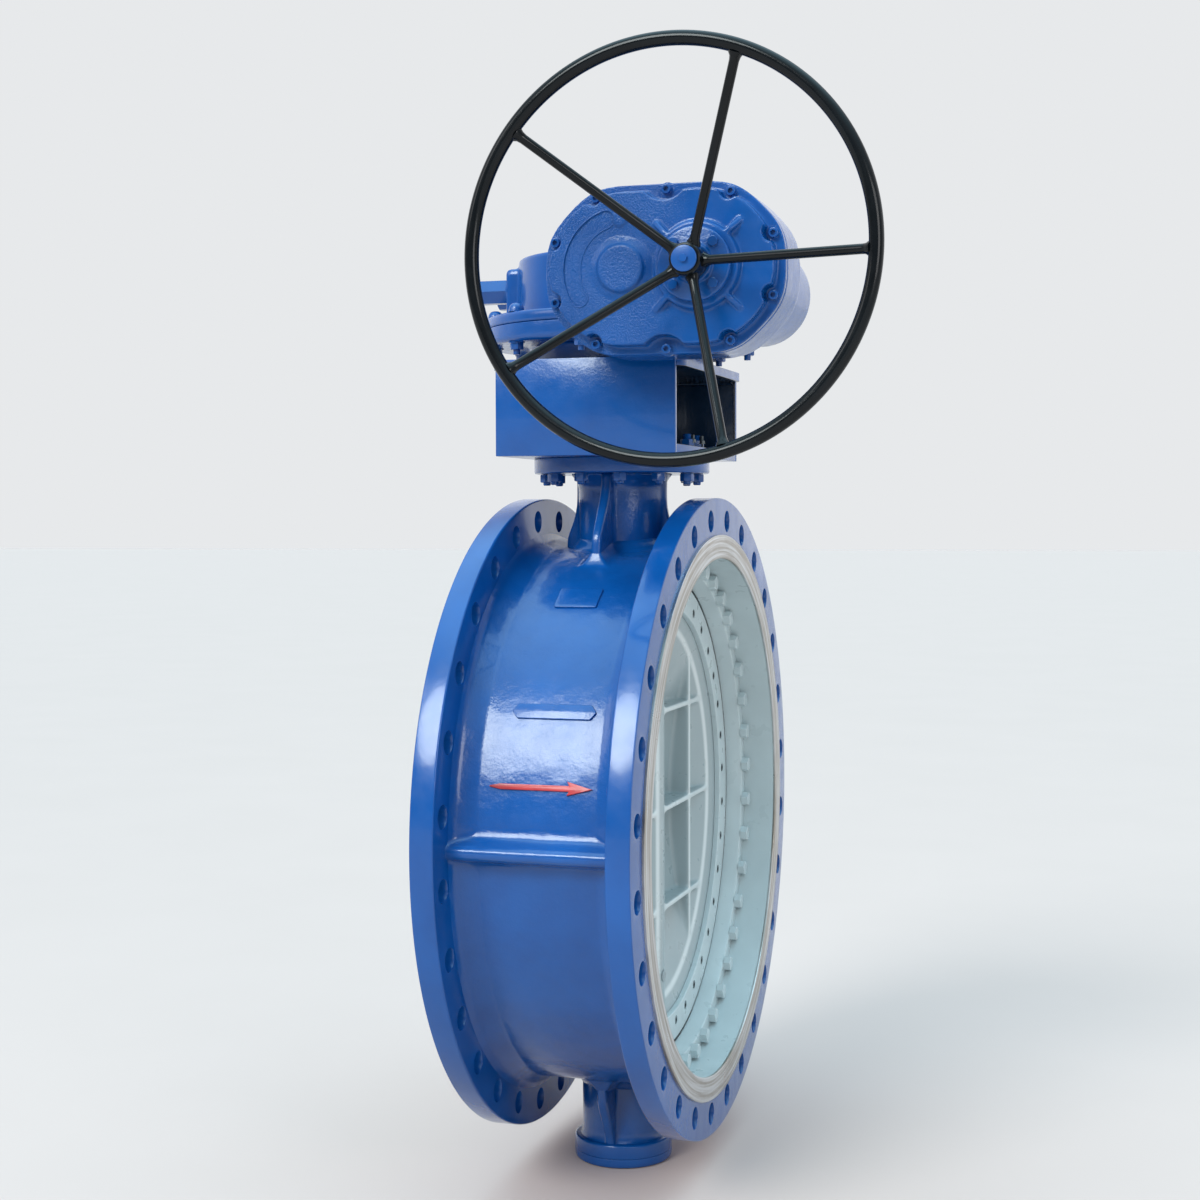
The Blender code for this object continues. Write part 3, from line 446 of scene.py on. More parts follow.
def tree_of(name, colour, roughness, metallic=0.0):
    """A new material and its node tree's parts."""
    material = bpy.data.materials.new(name)
    material.use_nodes = True
    tree = material.node_tree
    shader = tree.nodes["Principled BSDF"]
    feed(tree, shader, Base_Color=(*colour, 1.0), Roughness=roughness, Metallic=metallic)
    return material, tree, shader, add(tree, "TexCoord", "Object")


def noise_node(tree, where, scale, detail=3.0, roughness=0.5):
    """Fractal noise in the piece's own space."""
    return add(tree, "TexNoise", "Fac", Vector=where, Scale=scale, Detail=detail,
        Roughness=roughness)


def ramp(tree, value, stops):
    """Colour ramp over (position, (red, green, blue)) stops."""
    node = tree.nodes.new("ShaderNodeValToRGB")
    elements = node.color_ramp.elements
    while len(elements) < len(stops):
        elements.new(0.5)
    for element, (position, colour) in zip(elements, stops):
        element.position = position
        element.color = (*colour, 1.0)
    feed(tree, node, Fac=value)
    return node.outputs["Color"]


def stretch(tree, value, low, high):
    """Map noise, which seldom leaves 0.3 to 0.7, to a range."""
    return add(tree, "MapRange", "Result", Value=value, From_Min=0.3, From_Max=0.7, To_Min=low,
        To_Max=high)


def bump(tree, height, distance, **below):
    """Bump of a height in metres, on top of another bump if a Normal is given."""
    return add(tree, "Bump", "Normal", Height=height, Distance=distance, Strength=1.0, **below)


def fading(tree, where, value, full, none):
    """A value at full strength up to one X and nearly gone past another."""
    left = 0.12
    spread = add(tree, "MapRange", "Result", Value=axes(tree, where)["X"], From_Min=full,
        From_Max=none, To_Min=1.0, To_Max=left)
    return sums(tree, "MULTIPLY", value, spread)


def paint(name, dark, light, roughness, fine, coarse, fine_scale=260.0, coat=0.25,
          smooth_past=None, gloss=0.46):
    """Gloss paint over metal: two close tones, slow ripples and the grain of the skin."""
    material, tree, shader, where = tree_of(name, light, roughness)
    tone = noise_node(tree, where, 7.0, 4.0)
    matt = noise_node(tree, where, 31.0)
    slow = bump(tree, noise_node(tree, where, 22.0, 2.0), coarse)
    skin = noise_node(tree, where, fine_scale, 3.0, 0.6)
    if smooth_past:
        skin = fading(tree, where, skin, *smooth_past)
    feed(tree, shader, Base_Color=ramp(tree, tone, [(0.32, dark), (0.68, light)]),
        Roughness=stretch(tree, matt, roughness * 0.75, roughness * 1.35), Normal=bump(tree, skin,
        fine, Normal=slow), Specular_IOR_Level=gloss, Coat_Weight=coat, Coat_Roughness=0.06)
    return material


def depth_shaded_paint(name, deep, proud, low, high):
    """Epoxy with painted shade at the bottom of a dish facing +X and a painted highlight on its
    ridges.
    """
    material = paint(name, deep, proud, *EPOXY_SKIN)
    tree = material.node_tree
    x = axes(tree, add(tree, "TexCoord", "Object"))["X"]
    depth = add(tree, "MapRange", "Result", Value=x, From_Min=low, From_Max=high)
    middle = tuple(a * 0.92 + b * 0.08 for a, b in zip(deep, proud))
    # painted shade low in the dish, painted highlight on the ribs' front edges near LATTICE_X
    tones = ramp(tree, depth, [(0.0, deep), (0.86, middle), (0.885, proud), (0.905, proud),
        (0.930, middle)])
    feed(tree, tree.nodes["Principled BSDF"], Base_Color=tones)
    return material


def inside_painted_shade(material, colour):
    """Give a paint a near-black painted shade wherever it lies inside the yoke's box."""
    tree = material.node_tree
    shader = tree.nodes["Principled BSDF"]
    place = axes(tree, add(tree, "TexCoord", "Object"))
    skin = 0.0009
    masks = [sums(tree, "COMPARE", place[letter], (low + high) / 2, (high - low) / 2 + skin)
        for letter, low, high in (("Y", -YOKE_INSIDE_Y, YOKE_INSIDE_Y),
        ("Z", YOKE_FLOOR_Z, YOKE_CEILING_Z))]
    outside = shader.inputs["Base Color"].links[0].from_socket
    # near-black painted shade inside the yoke's box; outside keeps the paint's own tones
    feed(tree, shader, Base_Color=add(tree, "MixRGB", "Color", Fac=sums(tree, "MULTIPLY", *masks),
        Color1=outside, Color2=(*colour, 1.0)))
    return material


def bare_metal(name, colour, roughness, stain=None, turned=False):
    """Machined metal with patches; a face turned about X also has rings and streaks."""
    material, tree, shader, where = tree_of(name, colour, roughness, 1.0)
    patch = noise_node(tree, where, 14.0, 5.0, 0.6)
    if turned:
        place = axes(tree, where)
        squares = [sums(tree, "POWER", place[letter], 2.0) for letter in "YZ"]
        radius = sums(tree, "SQRT", sums(tree, "ADD", *squares))
        line = add(tree, "CombineXYZ", "Vector", X=radius)
        normal = bump(tree, noise_node(tree, line, 700.0, 3.0, 0.7), 0.00030)
        drift = tree.nodes.new("ShaderNodeVectorMath")
        drift.operation = "MULTIPLY_ADD"
        drift.inputs[1].default_value = (0.0, 0.025, 0.025)
        tree.links.new(where, drift.inputs[0])
        tree.links.new(line, drift.inputs[2])
        streak = noise_node(tree, drift.outputs["Vector"], 150.0, 4.0, 0.6)
        tones = ramp(tree, streak, [(0.40, stain), (0.62, colour)])
    else:
        normal = bump(tree, noise_node(tree, where, 500.0, 2.0), 0.00006)
        shade = tuple(c * 0.8 for c in colour)
        tones = ramp(tree, patch, [(0.38, stain), (0.60, colour)] if stain else [(0.35, shade),
            (0.65, colour)])
    feed(tree, shader, Base_Color=tones, Normal=normal, Roughness=stretch(tree, patch,
        roughness * 1.3, roughness * 0.8))
    return material


def all_materials():
    """Every material of the valve, by name."""
    blues = (0.002, 0.062, 0.255), (0.003, 0.083, 0.325), 0.20
    return {"smooth_blue": paint("smooth_blue_paint", *blues, 0.00008, 0.00040),
        "cast_blue": paint("cast_blue_paint", *blues, 0.00046, 0.00150, 170.0),
        "rough_blue": paint("rough_cast_blue_paint", *blues, 0.00160, 0.00100, 280.0,
        smooth_past=(0.13, 0.26), gloss=0.32), "pale_epoxy": paint("pale_epoxy_coat",
        (0.480, 0.570, 0.590), (0.540, 0.635, 0.655), *EPOXY_SKIN),
        # disc epoxy: painted shade deep in the dish, painted highlight on the rib front edges
        "disc_epoxy": depth_shaded_paint("disc_epoxy_painted_shade", (0.300, 0.375, 0.395), (0.620, 0.690, 0.700),
        0.0, DISC_RING_X), "black_enamel": paint("black_enamel", (0.002, 0.003, 0.004),
        (0.004, 0.006, 0.008), 0.16, 0.00002, 0.00006, 300.0, 0.1, gloss=0.2),
        # yoke paint, near-black inside the yoke's box as painted shade
        "yoke_blue": inside_painted_shade(paint("yoke_blue_with_painted_shade", *blues, 0.00030, 0.00090, 190.0),
        (0.004, 0.014, 0.034)), "red_paint": paint("red_paint", (0.20, 0.012, 0.016),
        (0.52, 0.030, 0.035), 0.35, 0.00020, 0.00030, 240.0, 0.2),
        "face_steel": bare_metal("turned_face_steel", (0.66, 0.67, 0.68), 0.32, (0.36, 0.33, 0.29),
        turned=True), "steel": bare_metal("ground_steel", (0.52, 0.53, 0.54), 0.26),
        "dark_screw": bare_metal("coated_screw_steel", (0.20, 0.23, 0.24), 0.38,
        (0.10, 0.11, 0.12)), "bronze": bare_metal("bearing_bronze", (0.52, 0.34, 0.15), 0.30,
        (0.36, 0.22, 0.09)), "rubber": paint("moulded_rubber", (0.018, 0.018, 0.019),
        (0.030, 0.030, 0.032), 0.7, 0.00010, 0.00010, 400.0, 0.0),}


# roughness, fine and coarse grain, scale of the grain and coat of the pale epoxy
EPOXY_SKIN = (0.33, 0.00006, 0.00020, 200.0, 0.2)
MATERIALS = all_materials()
SLOT_OF = {"black_enamel": "black_enamel", "bronze": "bronze", "rubber": "seal_rubber"}
SLOT_OF |= dict.fromkeys(("smooth_blue", "cast_blue", "rough_blue", "yoke_blue", "red_paint"),
    "blue_paint")
SLOT_OF |= dict.fromkeys(("pale_epoxy", "disc_epoxy"), "pale_epoxy")
SLOT_OF |= dict.fromkeys(("face_steel", "steel", "dark_screw"), "steel")


# ---------------------------------------------------------------- valve body
def flare(distance, width, height, power=1.7):
    """Height of a cast fillet at a distance from the wall that it leans on."""
    return height * np.clip(1.0 - distance / width, 0.0, 1.0) ** power


def soft_max(a, b, blend):
    """The larger of two heights, with a soft valley where both stand up."""
    near = np.clip(1.0 - np.abs(a - b) / blend, 0.0, 1.0)
    both = np.clip(np.minimum(a, b) / blend, 0.0, 1.0)
    return np.maximum(a, b) + both * blend * near ** 2 / 4


def barrel_height(x, y, z):
    """How far the cast barrel stands above its plain radius, from its ribs and fillets."""
    flange_back = HALF_LENGTH - RAISED_H - FLANGE_THICK
    gap = flange_back - np.abs(x)
    height = flare(gap, 0.046, 0.020, 1.35) + flare(gap, 0.012, 0.008, 2.2)
    off = np.abs(z)
    rib = 0.030 / (1.0 + np.exp((off - 0.0150) / 0.0024)) + flare(off - 0.008, 0.034, 0.011)
    rib = np.where(np.abs(y) > 0.3, rib, 0.0)
    height = soft_max(height, rib, 0.016)
    for radius, sign in ((NECK_R, 1.0), (BOTTOM_NECK_R, -1.0)):
        reach = np.hypot(x, y) - radius
        web = np.maximum(np.abs(x) - 0.010, np.abs(y) - (0.172 if sign > 0 else 0.146))
        near = np.maximum(np.minimum(reach, web), 0.0)
        root = np.where(z * sign > 0.3, flare(near, 0.026, 0.020, 2.2), 0.0)
        height = soft_max(height, root, 0.010)
    return height


def barrel():
    """The barrel between the flanges, with its side ribs and the roots of the necks."""
    along, round_ = 84, 760
    edge = HALF_LENGTH - RAISED_H - FLANGE_THICK + 0.0006
    xs = np.linspace(-edge, edge, along)
    angles = np.linspace(0.0, 2 * math.pi, round_, endpoint=False)
    x, angle = np.meshgrid(xs, angles)
    y, z = BARREL_R * np.cos(angle), BARREL_R * np.sin(angle)
    radius = BARREL_R + barrel_height(x, y, z)
    for i in range(round_):
        for j in range(along):
            spot = Vector((x[i, j], y[i, j], z[i, j]))
            radius[i, j] += 0.0006 * noise.noise(spot * 11.0) + 0.00030 * noise.noise(spot * 45.0)
    outer = np.stack([x, radius * np.cos(angle), radius * np.sin(angle)], -1).reshape(-1, 3)
    ends = np.array([-edge, edge])
    inner = [(end, LINING_R * math.cos(a), LINING_R * math.sin(a)) for a in angles for end in ends]
    verts = np.concatenate([outer, np.array(inner)])
    faces = []
    base = len(outer)
    for i in range(round_):
        n = (i + 1) % round_
        for j in range(along - 1):
            faces.append([i * along + j, i * along + j + 1, n * along + j + 1, n * along + j])
        faces.append([base + 2 * i, base + 2 * i + 1, base + 2 * n + 1, base + 2 * n])
        faces.append([i * along, base + 2 * i, base + 2 * n, n * along])
        last = along - 1
        faces.append([i * along + last, base + 2 * i + 1, base + 2 * n + 1, n * along + last])
    obj = make("barrel", verts, faces)
    cut(obj, stem_bore_tool())
    done(obj, "valve", "cast_blue", ["valve_body"], smooth_angle=50)


def stem_bore_tool():
    """The bore for the stem and its bushes, as a cutter."""
    return rod("stem bore", [(STEM_BORE_R, YOKE_Z + 0.05), (STEM_BORE_R, COVER_Z - 0.05)],
        steps=64)


def pipe_flange(name, side):
    """One pipe flange, with its bolt holes."""
    face = HALF_LENGTH - RAISED_H
    back = face - FLANGE_THICK
    loop = [(FLANGE_R, side * face, 0.0025), (FLANGE_R, side * back, 0.004),
        (LINING_R + 0.004, side * back), (LINING_R + 0.004, side * face)]
    flange = lathe(name, loop, "X", steps=224)
    drill = rod("drill", [(BOLT_HOLE_R + 0.0135, 0.040), (BOLT_HOLE_R + 0.0012,
        FLANGE_THICK / 2 + 0.0008), (BOLT_HOLE_R, FLANGE_THICK / 2 - 0.0012),
        (BOLT_HOLE_R, -FLANGE_THICK / 2 + 0.0012), (BOLT_HOLE_R + 0.0012,
        -FLANGE_THICK / 2 - 0.0008), (BOLT_HOLE_R + 0.0135, -0.040)], steps=32)
    middle = side * (face + back) / 2
    spots = circle((0, 0), BOLT_CIRCLE_R, BOLT_COUNT, math.pi / BOLT_COUNT)
    holes = copies("holes", drill, [placed(middle, y, z, "X") for y, z in spots])
    done(cut(flange, holes), "valve", "smooth_blue")


def raised_face(name, side, inner):
    """The bare turned face that seals against the pipe's gasket."""
    face = side * HALF_LENGTH
    loop = [(RAISED_R, face, 0.0012), (RAISED_R, face - side * (RAISED_H + 0.0002)),
        (inner, face - side * (RAISED_H + 0.0002)), (inner, face, 0.0025)]
    done(lathe(name, loop, "X", steps=224), "valve", "face_steel")


def bore_lining():
    """The painted inside of the body, with the pocket for the seat."""
    end = HALF_LENGTH - RAISED_H - 0.0004
    loop = [(LINING_R, -end), (BORE_R, -end, 0.002), (BORE_R, 0.040, 0.006),
        (SHOULDER_R, 0.055, 0.005), (SHOULDER_R, SEAT_X, 0.002), (POCKET_R, SEAT_X),
        (POCKET_R, end), (LINING_R, end)]
    lining = lathe("bore_lining", loop, "X", steps=224)
    done(cut(lining, stem_bore_tool()), "valve", "pale_epoxy")


def rounded_plate(name, points, half, plane):
    """A web with softened corners, for casting on to a neck."""
    return slab(name, rounded(points, closed=True), -half, half, plane, 0.004, 3)


def necks():
    """The two necks with their webs, the flange on top and the collar below."""
    half, inner, top, low = 0.010, 0.070, 0.676, -0.655
    column = rod("column", [(NECK_R + 0.017, 0.6775), (NECK_R, 0.6560, 0.012), (NECK_R, 0.500)])
    webs = []
    for side in (-1, 1):
        front = [(inner, top), (0.111, top), (0.116, 0.640, 0.03), (0.176, 0.552, 0.012),
            (0.179, 0.500), (inner, 0.500)]
        flank = [(inner, top), (0.093, top), (0.093, 0.600, 0.03), (0.114, 0.548, 0.012),
            (0.114, 0.505), (inner, 0.505)]
        webs.append(rounded_plate("web", [(side * p[0], *p[1:]) for p in front], half, "YZ"))
        webs.append(rounded_plate("web", [(side * p[0], *p[1:]) for p in flank], half, "XZ"))
    upper = cast("upper_neck", 0.0035, 7, column, *webs)
    done(cut(upper, stem_bore_tool()), "valve", "cast_blue", smooth_angle=60)

    column = rod("column", [(BOTTOM_NECK_R, -0.500), (BOTTOM_NECK_R, -0.648, 0.010),
        (BOTTOM_NECK_R + 0.012, -0.664)])
    webs = []
    for side in (-1, 1):
        lower_web = [(inner, low), (0.094, low), (0.098, -0.640, 0.01), (0.150, -0.558, 0.012),
            (0.152, -0.500), (inner, -0.500)]
        webs.append(rounded_plate("web", [(side * p[0], *p[1:]) for p in lower_web], half, "YZ"))
    lower = cast("lower_neck", 0.0035, 7, column, *webs)
    done(cut(lower, stem_bore_tool()), "valve", "cast_blue", smooth_angle=60)

    flange = lathe("yoke_flange", [(TOP_FLANGE_R, YOKE_Z, 0.002), (TOP_FLANGE_R, TOP_FLANGE_Z,
        0.005), (0.080, TOP_FLANGE_Z), (0.080, YOKE_Z)], steps=128)
    drill = rod("drill", [(STUD_HOLE_R, YOKE_Z + 0.01), (STUD_HOLE_R, TOP_FLANGE_Z - 0.01)],
        steps=24)
    holes = copies("holes", drill, [placed(x, y, 0.0) for x, y in STUD_SPOTS])
    done(cut(flange, holes), "valve", "cast_blue")

    collar = lathe("lower_collar", [(COLLAR_R, COLLAR_Z, 0.006), (COLLAR_R, COVER_Z, 0.0015),
        (STEM_BORE_R, COVER_Z), (STEM_BORE_R, COLLAR_Z)], steps=128)
    done(collar, "valve", "smooth_blue")


def bottom_cover():
    """Cover under the stem's thrust bearing, with countersunk screws."""
    top = COVER_Z - 0.0003
    cover = rod("bottom_plate", [(COLLAR_R, top, 0.0006), (COLLAR_R, BOTTOM_Z + 0.001, 0.009),
        (COLLAR_R - 0.010, BOTTOM_Z, 0.002)], steps=128)
    well = rod("well", [(0.0092, 0.010), (0.0092, -0.001)], steps=24)
    circle_r, count = 0.076, 6
    spots = circle((0, 0), circle_r, count, math.pi / count)
    wells = copies("wells", well, [placed(x, y, BOTTOM_Z) for x, y in spots])
    done(cut(cover, wells), "valve", "smooth_blue", ["bottom_cover"])
    screw = socket_screw("screw", 0.0085, 0.008)
    screws = copies("bottom_plate_screws", screw, [placed(x, y, BOTTOM_Z + 0.0098, "-Z")
        for x, y in spots])
    done(screws, "valve", "dark_screw")


def on_barrel(name, outline, angle, material, height=0.0040):
    """A raised mark on the barrel: an outline in (x, arc length) laid round it at an angle."""
    plate = baked(slab(name, outline, -0.004, height, "XY", 0.0011))
    bm = bmesh.new()
    bm.from_mesh(plate.data)
    low = min(v.co.y for v in bm.verts)
    high = max(v.co.y for v in bm.verts)
    cuts = max(2, round((high - low) / 0.010))
    for i in range(1, cuts):
        geometry = list(bm.verts) + list(bm.edges) + list(bm.faces)
        bmesh.ops.bisect_plane(bm, geom=geometry, plane_co=(0, low + (high - low) * i / cuts, 0),
            plane_no=(0, 1, 0))
    for vert in bm.verts:
        turn = angle + vert.co.y / BARREL_R
        radius = BARREL_R + vert.co.z
        vert.co = (vert.co.x, -radius * math.cos(turn), radius * math.sin(turn))
    bmesh.ops.recalc_face_normals(bm, faces=bm.faces)
    bm.to_mesh(plate.data)
    bm.free()
    done(plate, "valve", material)


def marks():
    """Plain pads and the flow arrow that stand proud of the barrel."""
    pad = rounded([(-0.036, -0.029, 0.004), (0.046, -0.029, 0.004), (0.046, 0.029, 0.004),
        (-0.036, 0.029, 0.004)], closed=True)
    on_barrel("upper_pad", pad, math.radians(55.9), "cast_blue")
    strip = rounded([(-0.063, 0.0, 0.003), (-0.053, -0.014, 0.003), (0.084, -0.014, 0.003),
        (0.094, 0.0, 0.003), (0.084, 0.014, 0.003), (-0.053, 0.014, 0.003)], closed=True)
    on_barrel("name_strip", strip, math.radians(27.4), "cast_blue")
    arrow = [(-0.090, -0.0010), (-0.070, -0.0050), (0.058, -0.0050), (0.054, -0.0125),
        (0.101, 0.0), (0.054, 0.0125), (0.058, 0.0050), (-0.070, 0.0050), (-0.090, 0.0010)]
    on_barrel("flow_arrow", arrow, math.radians(12.5), "red_paint", 0.0045)


# ---------------------------------------------------------------- seat and disc
def seat():
    """The seat ring, the ring bolted over it and that ring's bolts."""
    outer = POCKET_R - 0.0005
    front = KEEPER_LOW.x
    ring = [(outer, front - 0.0003), (outer, SEAT_X + 0.0003), (0.4755, SEAT_X + 0.0003, 0.001),
        (0.4713, front - 0.0003, 0.0006)]
    done(lathe("seat_ring", ring, "X", steps=224), "valve", "steel", ["body_seat_ring"])
    keeper = [(outer, KEEPER_HIGH.x, 0.001), (outer, front), (0.4720, front, 0.001),
        (0.4780, KEEPER_HIGH.x, 0.0025)]
    done(lathe("seat_keeper", keeper, "X", steps=224), "valve", "pale_epoxy",
        ["seat_retaining_ring"])
    head = capped_hex(0.0275, 0.0150, 0.0018, 0.0145, 0.0012)
    places = []
    for i in range(SEAT_BOLT_COUNT):
        turn = 2 * math.pi * (i + 0.5) / SEAT_BOLT_COUNT
        places.append(placed(KEEPER_HIGH.x - 0.0002, SEAT_BOLT_R * math.sin(turn),
            SEAT_BOLT_R * math.cos(turn), "X", turn + 0.9 * i))
    done(copies("seat_bolts", head, places), "valve", "pale_epoxy", smooth_angle=25)


def smooth_line(points, steps):
    """Points along a smooth curve through the given ones."""
    made = []
    padded = [points[0], *points, points[-1]]
    for p0, p1, p2, p3 in zip(padded, padded[1:], padded[2:], padded[3:]):
        for k in range(steps):
            t = k / steps
            made.append(tuple(0.5 * (2 * b + (c - a) * t + (2 * a - 5 * b + 4 * c - d) * t * t
                + (3 * b - a - 3 * c + d) * t ** 3) for a, b, c, d in zip(p0, p1, p2, p3)))
    made.append(points[-1])
    return made


def dish_middle(radius):
    """x of the middle of the dished plate's wall at a radius."""
    front = np.interp(radius, [p[0] for p in DISH_FRONT], [p[1] for p in DISH_FRONT])
    back = np.interp(radius, [p[0] for p in DISH_BACK[::-1]], [p[1] for p in DISH_BACK[::-1]])
    return float(front + back) / 2


def lattice_rib(offset, upright):
    """One rib across the dish, following its bottom, with rounded ends."""
    lattice_r = 0.382
    reach = math.sqrt(lattice_r ** 2 - offset ** 2)
    along = np.linspace(-reach, reach, 25)
    outline = [(LATTICE_X, -reach, 0.010), (LATTICE_X, reach, 0.010)]
    outline += [(dish_middle(math.hypot(s, offset)), s) for s in along[::-1]]
    outline = rounded(outline, closed=True)
    half = 0.0065
    return slab("rib", outline, offset - half, offset + half, "XZ" if upright else "XY", 0.0015, 2)


def disc():
    """Disc casting with its hub and lattice, its rings and their screws."""
    front = smooth_line(DISH_FRONT, 5)
    rim = [(0.451, DISC_RING_X), (0.451, 0.0780), (0.470, 0.0780), (0.470, 0.060, 0.004)]
    dish = lathe("dish", front + rim + smooth_line(DISH_BACK, 5), "X", steps=192)
    hub = rod("hub", [(DISC_HUB_R, DISC_HUB_Z, 0.006), (DISC_HUB_R, -DISC_HUB_Z, 0.006)])
    ribs = [lattice_rib(z, False) for z in (-0.200, 0.0, 0.200)]
    ribs += [lattice_rib(y, True) for y in (-0.230, 0.230)]
    casting = cast("disc_casting", 0.0040, 5, dish, hub, *ribs)
    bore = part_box("stem")[1].y + 0.0007
    done(cut(casting, rod("bore", [(bore, 0.5), (bore, -0.5)], steps=64)), "disc_assembly",
        "disc_epoxy", ["disc"], smooth_angle=60)

    seal = [(0.4700, DISC_RING_X, 0.001), (0.4720, 0.0784, 0.001), (0.4515, 0.0784),
        (0.4515, DISC_RING_X)]
    done(lathe("seal_lip", seal, "X", steps=192), "disc_assembly", "rubber", ["disc_seal_ring"])
    ring = [(0.4665, DISC_RING_HIGH.x, 0.0025), (0.4665, DISC_RING_LOW.x),
        (0.408, DISC_RING_LOW.x), (0.408, DISC_RING_HIGH.x, 0.0025)]
    keeper = lathe("disc_keeper", ring, "X", steps=192)
    well = rod("well", [(0.0100, 0.003), (0.0085, -0.004)], steps=24)
    spots = [(DISC_SCREW_R * math.sin(turn), DISC_SCREW_R * math.cos(turn))
        for turn in (2 * math.pi * (i + 0.5) / DISC_SCREW_COUNT for i in range(DISC_SCREW_COUNT))]
    wells = copies("wells", well, [placed(DISC_RING_HIGH.x, y, z, "X") for y, z in spots])
    done(cut(keeper, wells), "disc_assembly", "pale_epoxy", ["disc_retaining_ring"])
    screw = socket_screw("screw", 0.0078, 0.0040)
    screws = copies("disc_keeper_screws", screw, [placed(DISC_RING_HIGH.x - 0.0038, y, z, "X")
        for y, z in spots])
    done(screws, "disc_assembly", "dark_screw")


def stem():
    """Stem, turned smooth, with its step inside the yoke."""
    low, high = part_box("stem")
    profile = [(0.0, high.z), (0.016, high.z, 0.001), (0.016, 1.075), (0.0475, 1.075, 0.001),
        (0.0475, 0.770, 0.002), (high.y, 0.760, 0.002), (high.y, low.z, 0.002), (0.0, low.z)]
    shaft = lathe("stem_shaft", profile, steps=80)
    key = brick("keyway", (0.0400, -0.0093, 0.984), (0.060, 0.0093, 1.090), 0.0)
    done(cut(shaft, key), "disc_assembly", "steel", ["stem"])


def gland():
    """Gland flange with its studs and nuts."""
    low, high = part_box("gland_flange")
    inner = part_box("stem")[1].y + 0.0007
    outer = 0.079
    follower = lathe("follower", [(outer, high.z), (outer, low.z, 0.002), (inner, low.z),
        (inner, high.z, 0.002)], steps=80)
    reach, ear, across = 0.103, 0.020, 0.092
    oval = arc((0, reach), ear, 0, math.pi, 12) + [(-across, 0, 0.05)]
    oval += arc((0, -reach), ear, math.pi, 2 * math.pi, 12) + [(across, 0, 0.05)]
    ears = slab("gland_plate", rounded(oval, closed=True, steps=8), 0.730, high.z, "XY", 0.003)
    cut(ears, rod("bore", [(inner + 0.002, 0.8), (inner + 0.002, 0.7)], steps=64))
    done(merged("gland_follower", follower, ears), "valve", "smooth_blue", ["gland_flange"])
    stud = merged("stud", threaded("stub", 0.006, -0.060, 0.0255, 0.0016),
        hex_shape("hexagon", 0.0180, 0.0105, both=True))
    places = [placed(0.0, side * reach, high.z + 0.0004) for side in (-1, 1)]
    done(copies("gland_studs", stud, places), "valve", "steel", ["gland_stud_1", "gland_stud_2"])


# ---------------------------------------------------------------- yoke
def yoke():
    """Welded box between the valve and its gearbox."""
    x, y = YOKE_X, YOKE_HIGH.y
    low, high = YOKE_LOW.z, YOKE_HIGH.z
    wall, floor, ceiling = YOKE_WALL, YOKE_FLOOR_Z, YOKE_CEILING_Z
    for name, side in (("yoke_front_plate", -1), ("yoke_back_plate", 1)):
        ends = sorted((side * y, side * (y - wall)))
        done(brick(name, (-x, ends[0], low), (x, ends[1], high), 0.0012), "valve", "yoke_blue",
            ["yoke_bracket"] if side < 0 else ())
    inside = y - wall + 0.0005
    bottom = brick("yoke_bottom_plate", (-x, -inside, low), (x, inside, floor), 0.0012)
    drill = rod("drill", [(STUD_HOLE_R, 0.04), (STUD_HOLE_R, -0.01)], steps=24)
    holes = copies("holes", drill, [placed(px, py, low) for px, py in STUD_SPOTS])
    middle = rod("middle", [(0.126, 0.8), (0.126, 0.6)])
    done(cut(bottom, holes, middle), "valve", "yoke_blue")
    top_x, top_y, corner = 0.190, 0.240, 0.030
    outline = rounded([(top_x, top_y, corner), (-top_x, top_y, corner), (-top_x, -top_y, corner),
        (top_x, -top_y, corner)], closed=True, steps=8)
    top = slab("yoke_top_plate", outline, ceiling, high - 0.0004, "XY", 0.0012)
    hole = rod("hole", [(0.060, 0.95), (0.060, 0.8)], steps=64)
    done(cut(top, hole), "valve", "yoke_blue")
    beads = []
    for side in (-1, 1):
        for z, rise in ((floor, 1), (ceiling, -1)):
            beads.append(bead("bead", (-x + 0.004, side * (inside - 0.001), z + rise * 0.001),
                (x - 0.004, side * (inside - 0.001), z + rise * 0.001), 0.006))
        for end in (-1, 1):
            beads.append(bead("bead", (end * x * 0.985, side * (inside - 0.001), floor),
                (end * x * 0.985, side * (inside - 0.001), ceiling), 0.0015))
    done(merged("yoke_welds", *beads), "valve", "yoke_blue", smooth_angle=80)
    stub = threaded("stub", 0.004, 0.0, 0.0255, 0.00125)
    nut = capped_hex(0.0120, 0.0065, 0.0012, 0.0075, 0.0010, True)
    nut.data.transform(Matrix.Translation((0, 0, 0.010)))
    stud = merged("stud", stub, nut)
    places = [placed(0.155, side * 0.035, floor - 0.0005) for side in (-1, 1)]
    done(copies("yoke_small_studs", stud, places), "valve", "dark_screw")


def bead(name, start, end, radius):
    """A weld bead between two points, with its ripples."""
    start, end = Vector(start), Vector(end)
    length = (end - start).length
    count = max(8, round(length / 0.004))
    profile = [(0.0, length)]
    for i in range(count, 0, -1):
        swell = 0.82 + 0.18 * math.cos(i * 2.4) + 0.08 * noise.noise(Vector((i * 0.7, radius, 0)))
        profile.append((radius * swell, length * (i - 0.5) / count))
    profile.append((0.0, 0.0))
    obj = lathe(name, profile, steps=12)
    return spanned(obj, start, end)


